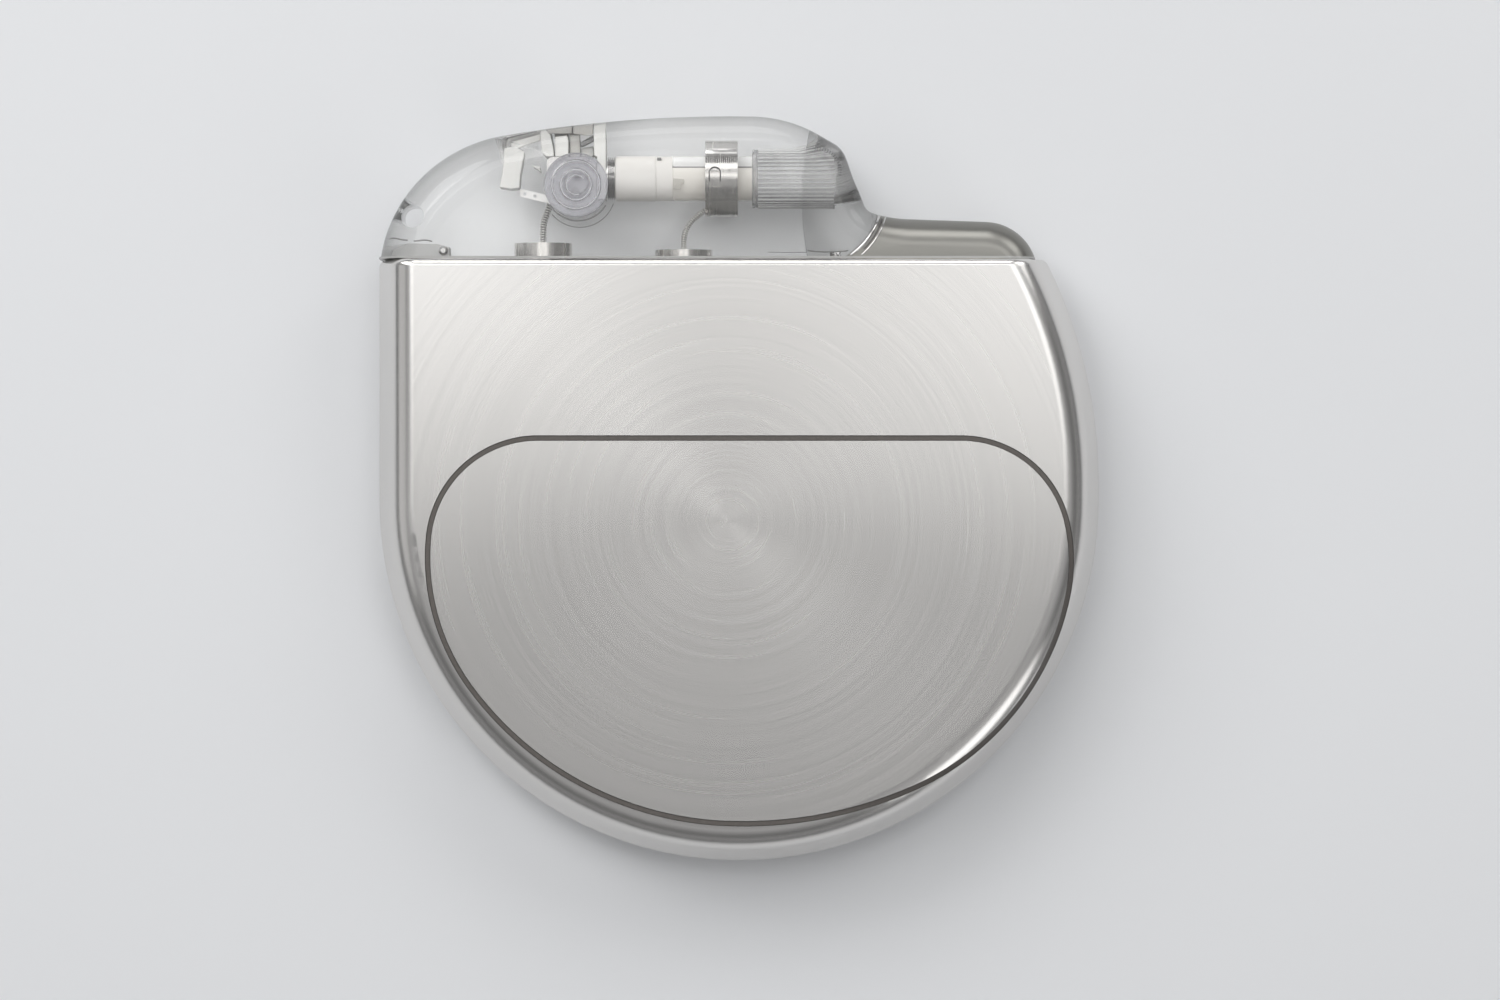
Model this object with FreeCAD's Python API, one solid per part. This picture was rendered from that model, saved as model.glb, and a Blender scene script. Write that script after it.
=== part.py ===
import FreeCAD, Part
import math
import os

V = FreeCAD.Vector
os.makedirs("parts", exist_ok=True)

# Frame: the device lies on its back. +X points out of the lead port, +Y from the can to the
# clear header, +Z out of the front face. The origin is on the rear face, at the centre of the
# round part of the can. All lengths are millimetres, all angles degrees.

# The can: two drawn titanium half shells that meet at a seam at half thickness.
can_radius = 23.2
can_top = 15.5
can_thickness = 7.0
shell_wall = 0.3
side_draft = 20.0
shoulder_radius = 1.75
top_edge_radius = 0.5
inner_edge_radius = 0.2
flank_radius = 31.6
flank_rise = 1.19
seam_z = can_thickness / 2

# The engraved line that frames the front face: a straight top run, then one smooth curve
# clockwise from its right end round to its left end.
engraving_width = 0.35
engraving_depth = 0.05
frame_points = [
    (14.0, 3.98), (15.8, 3.75), (17.39, 3.2), (18.88, 2.13), (20.09, 0.71),
    (20.8, -0.96), (21.2, -3.4), (20.99, -6.34), (20.48, -8.07), (19.06, -11.26),
    (17.13, -14.0), (14.83, -16.23), (11.6, -18.15), (7.6, -19.6), (1.95, -20.56),
    (-2.38, -20.49), (-7.26, -19.35), (-11.16, -17.4), (-15.06, -14.31), (-18.2, -10.3),
    (-19.45, -6.83), (-19.85, -3.4), (-19.5, -0.93), (-18.74, 0.73), (-17.52, 2.16),
    (-15.93, 3.26), (-14.4, 3.8), (-12.8, 3.98),
]

# The clear header on the flat top of the can.
bond_thickness = 0.12
header_rear = 0.55
header_front = 6.45
header_edge_radius = 1.7
tail_edge_radius = 1.75
header_base = can_top + bond_thickness
header_left = -can_radius + 0.07
shoulder_width = 7.63
left_arc_radius = 9.3
crown_x = -0.5
crown_top = 24.68
crown_radius = 88.0
crown_run = 1.3
brow_radius = 9.0
brow_heading = -30.0
brow_run = 1.05
nose_radius = 1.85
mouth_heading = -69.0
mouth_length = 3.22
crest_radius = 0.9
saddle_heading = -18.0
saddle_radius = 8.0
tail_heading = -2.0
tail_end_radius = 3.4
tail_end_reach = 3.87
parting_x = 4.05
parting_y = 19.4
parting_radius = 21.0
tail_joint_x = 4.56
tail_joint_y = 19.5
tail_joint_radius = 4.51
tail_zone_left = 6.0
tail_zone_top = 19.0
suture_x = header_left + 2.23
suture_y = 18.2
suture_radius = 0.75

# The lead port: one straight stepped bore, pin zone, ring zone and entry.
bore_y = 20.7
bore_z = seam_z
pin_bore_radius = 0.85
ring_bore_radius = 1.375
entry_bore_radius = 1.74
pin_bore_end = -11.9
pin_bore_step = -6.4
entry_step = 0.84
entry_cone = 0.32
sleeve_end = 6.15
sleeve_radius = 1.95
tube_radius = 1.56

# Contacts, block, screw and seal plug of the header.
block_left = -12.3
block_right = -9.15
block_bottom = 18.9
block_top = 22.0
block_rear = 1.6
block_front = 5.6
block_edge_radius = 0.4
neck_radius = 1.12
spacer_left = -7.94
spacer_right = -4.26
spacer_groove = (-5.35, -5.03)
spacer_groove_depth = 0.06
ring_left = -2.16
ring_right = -0.08
ring_radius = 2.45
ring_inner_radius = tube_radius
spring_major = 1.76
spring_minor = 0.33
screw_x = -10.4
screw_y = 20.4
screw_radius = 0.9
screw_clearance = 0.05
screw_thread = 1.25
dog_radius = 0.5
dog_length = 0.25
screw_lift = 0.1
screw_travel = 1.0
hex_across = 0.75
hex_depth = 0.6
plug_y = 20.15
plug_radius = 2.06
plug_seat = 6.05
plug_height = 0.8
plug_well_radius = 1.25

# Feedthroughs on the seam of the top wall, one for the tip and one for the ring.
tip_x = -12.6
ring_x = -3.55
flange_radius = 1.85
tip_flange = 1.03
ring_flange = 0.6
ferrule_radius = 1.3
ferrule_bottom = 14.3
ferrule_slip = 0.02
ceramic_radius = 0.95
ceramic_bottom = 14.45
pin_radius = 0.16
pin_bottom = 13.35
wire_radius = 0.21

# The module inside the can.
frame_inset = 1.65
frame_wall = 0.5
frame_low = 0.65
frame_high = 6.35
frame_top = 13.8
bar_low = -0.5
bar_high = 0.1
cell_inset = 2.2
cell_top = -0.6
cell_low = 0.7
cell_high = 6.3
cell_wall = 0.25
lid_thickness = 0.3
board_low = 2.9
board_high = 3.5
board_bottom = 0.15
board_top = 13.25
liner_thickness = 0.1
liner_gap = 0.05
part_gap = 0.02


def cylinder(radius, start, end):
    axis = end.sub(start)
    return Part.makeCylinder(radius, axis.Length, start, axis)


def block(low, high):
    size = high.sub(low)
    return Part.makeBox(size.x, size.y, size.z, low)


def ring(outer, inner, start, end):
    return cylinder(outer, start, end).cut(cylinder(inner, start, end))


def plate(points, low, high):
    corners = [V(x, y, low) for x, y in points]
    face = Part.Face(Part.makePolygon(corners + [corners[0]]))
    return face.extrude(V(0, 0, high - low))


def rounded_block(low, high, radius):
    body = block(low, high)
    upright = [e for e in body.Edges if abs(e.tangentAt(e.FirstParameter).z) > 0.99]
    return body.makeFillet(radius, upright)


def turned(points, centre):
    corners = [V(centre.x + r, centre.y, z) for r, z in points]
    face = Part.Face(Part.makePolygon(corners + [corners[0]]))
    return face.revolve(centre, V(0, 0, 1), 360)


def heading(angle):
    turn = math.radians(angle)
    return V(math.cos(turn), math.sin(turn), 0)


def tangent_chain(start, angle, moves):
    edges = []
    here = start
    for radius, amount in moves:
        if radius == 0:
            there = here + heading(angle) * amount
            edges.append(Part.makeLine(here, there))
            here = there
            continue
        side = 90 if amount > 0 else -90
        centre = here + heading(angle + side) * radius
        middle = centre - heading(angle + amount / 2 + side) * radius
        there = centre - heading(angle + amount + side) * radius
        edges.append(Part.Arc(here, middle, there).toShape())
        here = there
        angle = angle + amount
    return edges


def save(name, shape):
    shape.exportStep("parts/" + name + ".step")


# Section through the side of the front half shell, from the axis out to the draft of the
# wall, over the shoulder and back along the flat face. The inset moves every surface inwards.
def side_section(axis, reach, inset):
    lean = math.radians(side_draft)
    crown = can_thickness - inset
    edge = reach - inset / math.cos(lean)
    corner = edge - (crown - seam_z) * math.tan(lean)
    radius = shoulder_radius - inset
    run = radius * math.tan(math.radians(45 - side_draft / 2))
    on_wall = V(corner + run * math.sin(lean), 0, crown - run * math.cos(lean))
    on_face = V(corner - run, 0, crown)
    turn = math.radians(45 + side_draft / 2)
    middle = on_face + V(radius * math.cos(turn), 0, radius * math.sin(turn) - radius)
    lines = [
        Part.makeLine(V(0, 0, seam_z), V(edge, 0, seam_z)),
        Part.makeLine(V(edge, 0, seam_z), on_wall),
        Part.Arc(on_wall, middle, on_face).toShape(),
        Part.makeLine(on_face, V(0, 0, crown)),
        Part.makeLine(V(0, 0, crown), V(0, 0, seam_z)),
    ]
    face = Part.Face(Part.Wire(lines))
    face.translate(axis)
    return face


def can_half(inset, edge_radius):
    up = V(0, 0, 1)
    centre = V(0, 0, 0)
    section = side_section(centre, can_radius, inset)
    bowl = section.revolve(centre, up, -180)
    right = section.extrude(V(0, flank_rise, 0))
    left = section.mirror(centre, V(1, 0, 0)).extrude(V(0, can_radius, 0))
    flank_centre = V(can_radius - flank_radius, flank_rise, 0)
    flank = side_section(flank_centre, flank_radius, inset).revolve(flank_centre, up, 90)
    body = bowl.multiFuse([right, left, flank]).removeSplitter()
    top = can_top - inset
    far = 2 * can_radius
    keep = block(V(-far, -far, 0), V(far, top, far))
    body = body.common(keep).removeSplitter()
    if edge_radius == 0:
        return body
    rim = []
    for edge in body.Edges:
        box = edge.BoundBox
        flat = box.YMin > top - 0.001
        if flat and box.ZMax > seam_z + 0.001:
            rim.append(edge)
    return body.makeFillet(edge_radius, rim)


# Closed outline of the can at the seam, moved inwards by an inset and cut flat at a height.
def can_slab(inset, top, low, high):
    centre = V(0, 0, low)
    rise = V(0, 0, high - low)
    radius = can_radius - inset
    disc = Part.makeCylinder(radius, high - low, centre)
    left = block(V(-radius, 0, low), V(0, can_radius, high))
    right = block(V(0, 0, low), V(radius, flank_rise, high))
    middle = V(can_radius - flank_radius, flank_rise, low)
    flank = Part.makeCylinder(flank_radius - inset, rise.z, middle, V(0, 0, 1), 90)
    body = disc.multiFuse([left, right, flank]).removeSplitter()
    far = 2 * can_radius
    return body.common(block(V(-far, -far, low), V(far, top, high))).removeSplitter()


# Ribbon of the engraved frame, with an even width to both sides of its line.
def frame_ribbon(low, high):
    along_top = V(1, 0, 0)
    line = Part.BSplineCurve()
    line.interpolate(Points=[V(x, y, low) for x, y in frame_points],
                     InitialTangent=along_top, FinalTangent=along_top)
    first = line.FirstParameter
    span = line.LastParameter - first
    count = 2 * len(frame_points)
    outlines = []
    for side in (-0.5, 0.5):
        points = []
        for step in range(count + 1):
            place = first + span * step / count
            along = line.tangent(place)[0]
            across = V(-along.y, along.x, 0) * (side * engraving_width)
            points.append(line.value(place) + across)
        rail = Part.BSplineCurve()
        rail.interpolate(Points=points, InitialTangent=along_top, FinalTangent=along_top)
        outlines.append(Part.Wire([rail.toShape(), Part.makeLine(points[-1], points[0])]))
    inner, outer = sorted(outlines, key=lambda wire: wire.Length)
    hole = Part.Face(inner).extrude(V(0, 0, high - low))
    return Part.Face(outer).extrude(V(0, 0, high - low)).cut(hole)


def header_outline(edge_radius):
    start_x = header_left + shoulder_width
    rise = math.asin((crown_x - start_x) / crown_radius)
    start_y = crown_top - crown_radius * (1 - math.cos(rise))
    start = V(start_x, start_y, header_rear)
    start_heading = math.degrees(rise)
    fall = math.degrees(math.asin(crown_run / crown_radius))
    moves = [
        (crown_radius, -start_heading - fall),
        (brow_radius, brow_heading + fall),
        (0, brow_run),
        (nose_radius, mouth_heading - brow_heading),
        (0, mouth_length),
        (crest_radius, saddle_heading - mouth_heading),
        (saddle_radius, tail_heading - saddle_heading),
    ]
    edges = tangent_chain(start, start_heading, moves)
    saddle = edges[-1].Vertexes[-1].Point
    corner = can_radius - flank_radius + math.sqrt(flank_radius ** 2 - (can_top - flank_rise) ** 2)
    run = (corner - tail_end_reach - saddle.x) / math.cos(math.radians(tail_heading))
    edges = edges + tangent_chain(saddle, tail_heading, [(0, run), (tail_end_radius, -80.0)])
    left = tangent_chain(start, start_heading + 180, [(left_arc_radius, 86.0)])
    low_y = can_top - header_edge_radius
    end = edges[-1].Vertexes[-1].Point
    begin = left[-1].Vertexes[-1].Point
    corner_right = V(end.x, low_y, header_rear)
    corner_left = V(begin.x, low_y, header_rear)
    sides = [
        Part.makeLine(end, corner_right),
        Part.makeLine(corner_right, corner_left),
        Part.makeLine(corner_left, begin),
    ]
    wire = Part.Wire(Part.__sortEdges__(edges + left + sides))
    body = Part.Face(wire).extrude(V(0, 0, header_front - header_rear))
    rim = []
    for edge in body.Edges:
        box = edge.BoundBox
        level = box.ZLength < 0.001
        if level and box.YMax > low_y + 0.1:
            rim.append(edge)
    return body.makeFillet(edge_radius, rim)


# Front and rear half shells with the half holes for the two feedthroughs.
hole_radius = ferrule_radius + ferrule_slip
outside = can_half(0, top_edge_radius)
inside = can_half(shell_wall, inner_edge_radius)
half = outside.cut(inside)
for x in (tip_x, ring_x):
    half = half.cut(cylinder(hole_radius, V(x, can_top - 1, seam_z), V(x, can_top + 1, seam_z)))
ribbon = frame_ribbon(seam_z + 1, can_thickness + 1)
groove = ribbon.cut(can_half(engraving_depth, 0))
front_shell = half.cut(groove)
rear_shell = half.mirror(V(0, 0, seam_z), V(0, 0, 1))
save("front_shell", front_shell)
save("rear_shell", rear_shell)

# Backing strip inside the seam weld, open where the feedthroughs pass.
strip_reach = 0.5
strip_wall = 0.15
strip_inset = (shell_wall + strip_reach * math.sin(math.radians(side_draft))) / math.cos(
    math.radians(side_draft)) + part_gap
strip_low = seam_z - strip_reach
strip_high = seam_z + strip_reach
strip_top = can_top - shell_wall - part_gap
weld_band = can_slab(strip_inset, strip_top, strip_low, strip_high)
weld_band = weld_band.cut(
    can_slab(strip_inset + strip_wall, strip_top - strip_wall, strip_low, strip_high))
for x in (tip_x, ring_x):
    gap = hole_radius + 2 * part_gap
    weld_band = weld_band.cut(cylinder(gap, V(x, 10, seam_z), V(x, can_top, seam_z)))
save("weld_band", weld_band)

# Feedthroughs: titanium ferrule, brazed ceramic and the pin that carries the signal.
def feedthrough(x, flange):
    face = can_top + flange
    foot = V(x, ferrule_bottom, seam_z)
    ferrule = cylinder(ferrule_radius, foot, V(x, face, seam_z))
    ferrule = ferrule.fuse(cylinder(flange_radius, V(x, can_top, seam_z), V(x, face, seam_z)))
    ferrule = ferrule.cut(cylinder(ceramic_radius, foot, V(x, face, seam_z)))
    sink = 0.1
    ceramic = cylinder(ceramic_radius, V(x, ceramic_bottom, seam_z), V(x, face - sink, seam_z))
    ceramic = ceramic.cut(cylinder(pin_radius, foot, V(x, face, seam_z)))
    top = face + sink
    pin = cylinder(pin_radius, V(x, pin_bottom, seam_z), V(x, top, seam_z))
    return ferrule.removeSplitter(), ceramic, pin, top


tip_ferrule, tip_insulator, tip_pin, tip_start = feedthrough(tip_x, tip_flange)
ring_ferrule, ring_insulator, ring_pin, ring_start = feedthrough(ring_x, ring_flange)
save("tip_ferrule", tip_ferrule)
save("tip_insulator", tip_insulator)
save("tip_pin", tip_pin)
save("ring_ferrule", ring_ferrule)
save("ring_insulator", ring_insulator)
save("ring_pin", ring_pin)

# Coiled wires, drawn as plain round cords: up from the pin, a bend, and straight to the contact.
def coil_cord(start, rise, bend_radius, bend, run):
    moves = [(0, rise), (bend_radius, -bend), (0, run)]
    path = Part.Wire(tangent_chain(start, 90, moves))
    loop = Part.Wire(Part.makeCircle(wire_radius, start, V(0, 1, 0)))
    return path.makePipeShell([loop], True, False)


wire_reach = 2.0
tip_bend = 20.0
tip_bend_radius = 2.2
tip_rise = 0.8
tip_wire = coil_cord(
    V(tip_x, tip_start, bore_z), tip_rise, tip_bend_radius, tip_bend, wire_reach)
tip_wire = tip_wire.common(
    block(V(-can_radius, can_top, 0), V(0, block_bottom, can_thickness)))
ring_bend = 52.0
ring_bend_radius = 2.0
ring_rise = 0.45
ring_wire = coil_cord(
    V(ring_x, ring_start, bore_z), ring_rise, ring_bend_radius, ring_bend, wire_reach)
ring_wire = ring_wire.common(
    block(V(-can_radius, can_top, 0), V(ring_left, crown_top, can_thickness)))
save("tip_wire", tip_wire)
save("ring_wire", ring_wire)

# Tip block with its neck, the blind pin bore and the screw hole across it.
tip_block = rounded_block(
    V(block_left, block_bottom, block_rear), V(block_right, block_top, block_front), block_edge_radius)
tip_block = tip_block.fuse(
    cylinder(neck_radius, V(block_right, bore_y, bore_z), V(spacer_left, bore_y, bore_z)))
tip_block = tip_block.cut(
    cylinder(pin_bore_radius, V(pin_bore_end, bore_y, bore_z), V(0, bore_y, bore_z)))
dog_rest = bore_z + pin_bore_radius + screw_lift
screw_foot = dog_rest + dog_length
screw_head = screw_foot + screw_thread
hole_foot = screw_foot - screw_travel - 0.1
screw_hole = cylinder(
    screw_radius + screw_clearance, V(screw_x, screw_y, hole_foot), V(screw_x, screw_y, block_front))
tip_block = tip_block.cut(screw_hole).removeSplitter()
save("tip_block", tip_block)

# Set screw: threaded cylinder with a dog point and a hexagon socket.
chamfer = 0.12
set_screw = turned([
    (0, dog_rest), (dog_radius, dog_rest), (dog_radius, screw_foot),
    (screw_radius - chamfer, screw_foot), (screw_radius, screw_foot + chamfer),
    (screw_radius, screw_head - chamfer), (screw_radius - chamfer, screw_head), (0, screw_head),
], V(screw_x, screw_y, 0))
hex_radius = hex_across / math.sqrt(3)
hexagon = []
for step in range(6):
    spoke = heading(60 * step) * hex_radius
    hexagon.append((screw_x + spoke.x, screw_y + spoke.y))
set_screw = set_screw.cut(plate(hexagon, screw_head - hex_depth, screw_head + 1))
save("set_screw", set_screw)

# Silicone seal plug over the screw: stepped rings, a conical centre and a slit for the driver.
plug_front = plug_seat + plug_height
plug_centre = V(screw_x, plug_y, 0)
plug_step = 0.13
outer_ring = 1.48
inner_ring = 0.94
plug_cone = 0.5
seal_plug = turned([
    (0, plug_seat), (plug_radius, plug_seat), (plug_radius, plug_front - plug_step),
    (plug_radius - plug_step, plug_front), (outer_ring, plug_front),
    (outer_ring - plug_step / 2, plug_front - plug_step), (inner_ring, plug_front - plug_step),
    (inner_ring - plug_step / 2, plug_front - 2 * plug_step), (plug_cone, plug_front - 2 * plug_step),
    (0, plug_front - 4 * plug_step),
], plug_centre)
slit_half = 0.5
slit_width = 0.05
slit = block(
    V(screw_x - slit_half, plug_y - slit_width / 2, plug_seat - 1),
    V(screw_x + slit_half, plug_y + slit_width / 2, plug_front + 1))
seal_plug = seal_plug.cut(slit)
save("seal_plug", seal_plug)
plug_well = cylinder(
    plug_well_radius, V(screw_x, screw_y, block_front), V(screw_x, screw_y, plug_seat))

# Moulded carrier that holds the block: top plate, walls, post, bar and the leaning foot.
carrier_half = 1.7
carrier_rear = bore_z - carrier_half - 0.1
carrier_front = bore_z + carrier_half
carrier_wall = 0.6
carrier_left = block_left - 0.4
carrier_right = block_right + 0.65
carrier_foot = block_bottom + 0.4
roof_left = crown_top - 1.18
roof_right = crown_top - 0.63
roof_thickness = 0.4
post_left = carrier_left + 0.9
post_width = 0.83
arm_reach = 2.25
arm_drop = 0.65
foot_width = 1.25
foot_drop = 2.3
web_rear = bore_z + 0.7
web_front = bore_z + 1.2
window_width = 0.85
window_height = 0.3
block_carrier = plate([
    (carrier_left, roof_left - roof_thickness), (carrier_right, roof_right - roof_thickness),
    (carrier_right, roof_right), (carrier_left, roof_left),
], carrier_rear, carrier_front)
arm_left = carrier_left - arm_reach
arm_top = roof_left - arm_drop
block_carrier = block_carrier.multiFuse([
    block(V(carrier_right - carrier_wall, carrier_foot, carrier_rear),
          V(carrier_right, roof_right - roof_thickness, carrier_front)),
    block(V(carrier_left, block_top, carrier_rear),
          V(carrier_left + carrier_wall, roof_left - roof_thickness / 2, carrier_front)),
    block(V(post_left, block_top, carrier_rear),
          V(post_left + post_width, roof_left - roof_thickness / 2, carrier_front)),
    block(V(post_left + post_width, block_top, web_rear),
          V(carrier_right - carrier_wall, roof_left - roof_thickness / 2, web_front)),
    plate([
        (arm_left, arm_top - roof_thickness), (carrier_left, roof_left - roof_thickness),
        (carrier_left, roof_left), (arm_left, arm_top - roof_thickness / 3),
    ], carrier_rear + 0.3, carrier_front - 0.3),
    plate([
        (arm_left - 0.1, arm_top - roof_thickness), (arm_left - 0.1 + foot_width, arm_top - 0.3),
        (arm_left + foot_width - 0.25, arm_top - 0.8 * foot_drop),
        (arm_left + foot_width - 0.45, arm_top - 0.15 - foot_drop),
        (arm_left - 0.45, arm_top - foot_drop),
        (arm_left - 0.35, arm_top - 0.7 * foot_drop),
    ], carrier_rear + 0.5, carrier_front - 0.5),
])
window_right_edge = carrier_right - carrier_wall - 0.2
window_low = block_top + 0.65
window = block(
    V(window_right_edge - window_width, window_low, 0),
    V(window_right_edge, window_low + window_height, can_thickness))
block_carrier = block_carrier.cut(window)
neck_hole = cylinder(neck_radius, V(block_right, bore_y, bore_z), V(spacer_left, bore_y, bore_z))
block_carrier = block_carrier.cut(neck_hole).removeSplitter()
save("block_carrier", block_carrier)

# Strap welded to the side of the block, with two small holes.
strap_thickness = 0.12
strap_low = bore_z + 0.8
strap_length = 1.75
strap_width = 0.5
strap_tilt = 0.42
strap_y = block_bottom + 0.2
strap_left = block_left - strap_length
strap_hole = 0.11
tip_strap = plate([
    (strap_left, strap_y + strap_tilt), (block_left, strap_y),
    (block_left, strap_y + strap_width), (strap_left, strap_y + strap_tilt + strap_width),
], strap_low, strap_low + strap_thickness)
for part_way in (0.18, 0.55):
    x = strap_left + part_way * strap_length
    y = strap_y + strap_tilt * (1 - part_way) + strap_width / 2
    tip_strap = tip_strap.cut(
        cylinder(strap_hole, V(x, y, strap_low), V(x, y, strap_low + strap_thickness)))
save("tip_strap", tip_strap)

# Insulating spacer between the block and the ring zone, with a locating groove.
spacer = cylinder(tube_radius, V(spacer_left, bore_y, bore_z), V(spacer_right, bore_y, bore_z))
spacer = spacer.cut(
    cylinder(pin_bore_radius, V(spacer_left, bore_y, bore_z), V(spacer_right, bore_y, bore_z)))
spacer = spacer.cut(
    cylinder(ring_bore_radius, V(pin_bore_step, bore_y, bore_z), V(spacer_right, bore_y, bore_z)))
spacer = spacer.cut(
    ring(tube_radius + 1, tube_radius - spacer_groove_depth,
         V(spacer_groove[0], bore_y, bore_z), V(spacer_groove[1], bore_y, bore_z)))
save("spacer", spacer)

# Clear liner tubes on both sides of the ring contact.
connector_tubes = Part.makeCompound([
    ring(tube_radius, ring_bore_radius, V(spacer_right, bore_y, bore_z), V(ring_left, bore_y, bore_z)),
    ring(tube_radius, ring_bore_radius, V(ring_right, bore_y, bore_z), V(entry_step, bore_y, bore_z)),
])
save("connector_tubes", connector_tubes)

# Ring contact with the groove for the canted spring and a stamped window mark.
ring_contact = ring(
    ring_radius, ring_inner_radius, V(ring_left, bore_y, bore_z), V(ring_right, bore_y, bore_z))
ring_middle = (ring_left + ring_right) / 2
groove_half = 0.4
ring_contact = ring_contact.cut(
    cylinder(spring_major + spring_minor, V(ring_middle - groove_half, bore_y, bore_z),
             V(ring_middle + groove_half, bore_y, bore_z)))
stamp_depth = 0.1
stamp_radius = 0.4
stamp_length = 0.65
stamp_x = ring_left + 0.62
stamp = cylinder(stamp_radius, V(stamp_x, bore_y, bore_z), V(stamp_x, bore_y, can_thickness))
stamp = stamp.fuse(block(V(stamp_x - stamp_radius, bore_y - stamp_length, bore_z),
                         V(stamp_x + stamp_radius, bore_y, can_thickness)))
stamp_core = cylinder(ring_radius - stamp_depth, V(ring_left - 1, bore_y, bore_z),
                      V(ring_right + 1, bore_y, bore_z))
ring_contact = ring_contact.cut(stamp.cut(stamp_core)).removeSplitter()
save("ring_contact", ring_contact)
spring_profile = []
for step in range(8):
    spoke = heading(45 * step + 22.5) * spring_minor
    spring_profile.append((spring_major + spoke.x, spoke.y))
ring_spring = turned(spring_profile + [spring_profile[0]], V(0, 0, 0))
ring_spring.rotate(V(0, 0, 0), V(0, 1, 0), 90)
ring_spring.translate(V(ring_middle, bore_y, bore_z))
save("ring_spring", ring_spring)

# Fluted clear sleeve of the port entry, with a conical lead-in to the ring zone.
sleeve_start = V(entry_step, bore_y, bore_z)
cone_end = V(entry_step + entry_cone, bore_y, bore_z)
sleeve_stop = V(sleeve_end, bore_y, bore_z)
port_sleeve = cylinder(sleeve_radius, sleeve_start, sleeve_stop)
port_sleeve = port_sleeve.cut(
    Part.makeCone(ring_bore_radius, entry_bore_radius, entry_cone, sleeve_start, V(1, 0, 0)))
port_sleeve = port_sleeve.cut(cylinder(entry_bore_radius, cone_end, sleeve_stop))
flute_count = 12
flute_radius = 0.16
flute_start = entry_step + 0.6
for step in range(flute_count):
    spoke = heading(360 * step / flute_count + 15) * (sleeve_radius + 0.06)
    start = V(flute_start, bore_y + spoke.x, bore_z + spoke.y)
    port_sleeve = port_sleeve.cut(cylinder(flute_radius, start, start + V(sleeve_end, 0, 0)))
save("port_sleeve", port_sleeve)

# Anchors that key the header to the can: a low bracket with its rivet and one stud.
bracket_height = 0.83
bracket_length = 3.6
bracket_half = 1.5
bracket_left = header_left + 0.93
bracket_right = bracket_left + bracket_length
bracket_top = header_base + bracket_height
bracket_rear = seam_z - bracket_half
bracket_front = seam_z + bracket_half
bracket_slope = 0.2
header_anchor = plate([
    (bracket_left, header_base), (bracket_right, header_base),
    (bracket_right, bracket_top - bracket_slope), (bracket_right - 4 * bracket_slope, bracket_top),
    (bracket_left + 6 * bracket_slope, bracket_top),
    (bracket_left + bracket_slope, bracket_top - 2 * bracket_slope),
], bracket_rear, bracket_front)
rivet_place = V(bracket_right - 0.35, header_base + 0.4, 0)
rivet_radius = 0.22
rivet_head = 0.3
rivet_rise = 0.24
header_anchor = header_anchor.cut(
    cylinder(rivet_radius, rivet_place, rivet_place + V(0, 0, can_thickness)))
anchor_rivet = turned([
    (0, bracket_rear), (rivet_radius, bracket_rear), (rivet_radius, bracket_front),
    (rivet_head, bracket_front), (rivet_head, bracket_front + rivet_rise / 3),
    (rivet_head / 2, bracket_front + rivet_rise), (0, bracket_front + rivet_rise),
], rivet_place)
stud_radius = 0.35
stud_x = parting_x + 2.15
header_stud = cylinder(
    stud_radius, V(stud_x, header_base, seam_z), V(stud_x, header_base + stud_radius, seam_z))
save("header_anchor", header_anchor)
save("anchor_rivet", anchor_rivet)
save("header_stud", header_stud)

# The header in three pieces on a film of adhesive: clear body, clear port nose, titanium tail.
far = 2 * can_radius
above_bond = block(V(-far, header_base, 0), V(far, far, can_thickness))
bond_space = block(V(-far, can_top, 0), V(far, header_base, can_thickness))
soft_outline = header_outline(header_edge_radius)
tail_outline = header_outline(tail_edge_radius)
bond_line = tail_outline.common(bond_space)
for x in (tip_x, ring_x):
    hole = cylinder(flange_radius, V(x, can_top, seam_z), V(x, header_base, seam_z))
    bond_line = bond_line.cut(hole)
save("bond_line", bond_line)
whole = soft_outline.common(above_bond)
parting_centre_x = parting_x + parting_radius
parting = cylinder(parting_radius, V(parting_centre_x, parting_y, 0),
                   V(parting_centre_x, parting_y, can_thickness))
tail_zone = block(V(tail_zone_left, 0, 0), V(far, tail_zone_top, can_thickness)).cut(
    cylinder(tail_joint_radius, V(tail_joint_x, tail_joint_y, 0),
             V(tail_joint_x, tail_joint_y, can_thickness)))
tail_piece = tail_outline.common(above_bond).common(tail_zone)
pin_path = cylinder(pin_bore_radius, V(pin_bore_end, bore_y, bore_z), V(spacer_left, bore_y, bore_z))
entry_path = cylinder(entry_bore_radius, sleeve_start, V(2 * sleeve_end, bore_y, bore_z))
sleeve_seat = cylinder(sleeve_radius, sleeve_start, sleeve_stop)
port_nose = whole.common(parting).cut([tail_zone, entry_path, sleeve_seat, header_stud])
port_nose = port_nose.fuse(sleeve_seat.common(parting).cut([port_sleeve, entry_path]))
header_body = whole.cut([parting, tail_zone])
spring_room = cylinder(ring_radius, V(ring_left, bore_y, bore_z), V(ring_right, bore_y, bore_z))
tube_room = cylinder(tube_radius, V(spacer_left, bore_y, bore_z), sleeve_start)
suture = cylinder(suture_radius, V(suture_x, suture_y, 0), V(suture_x, suture_y, can_thickness))
plug_room = cylinder(plug_radius, V(screw_x, plug_y, plug_seat), V(screw_x, plug_y, can_thickness))
flange_rooms = []
for x, rise in ((tip_x, tip_flange), (ring_x, ring_flange)):
    flange_rooms.append(
        cylinder(flange_radius, V(x, can_top, seam_z), V(x, can_top + rise, seam_z)))
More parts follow.
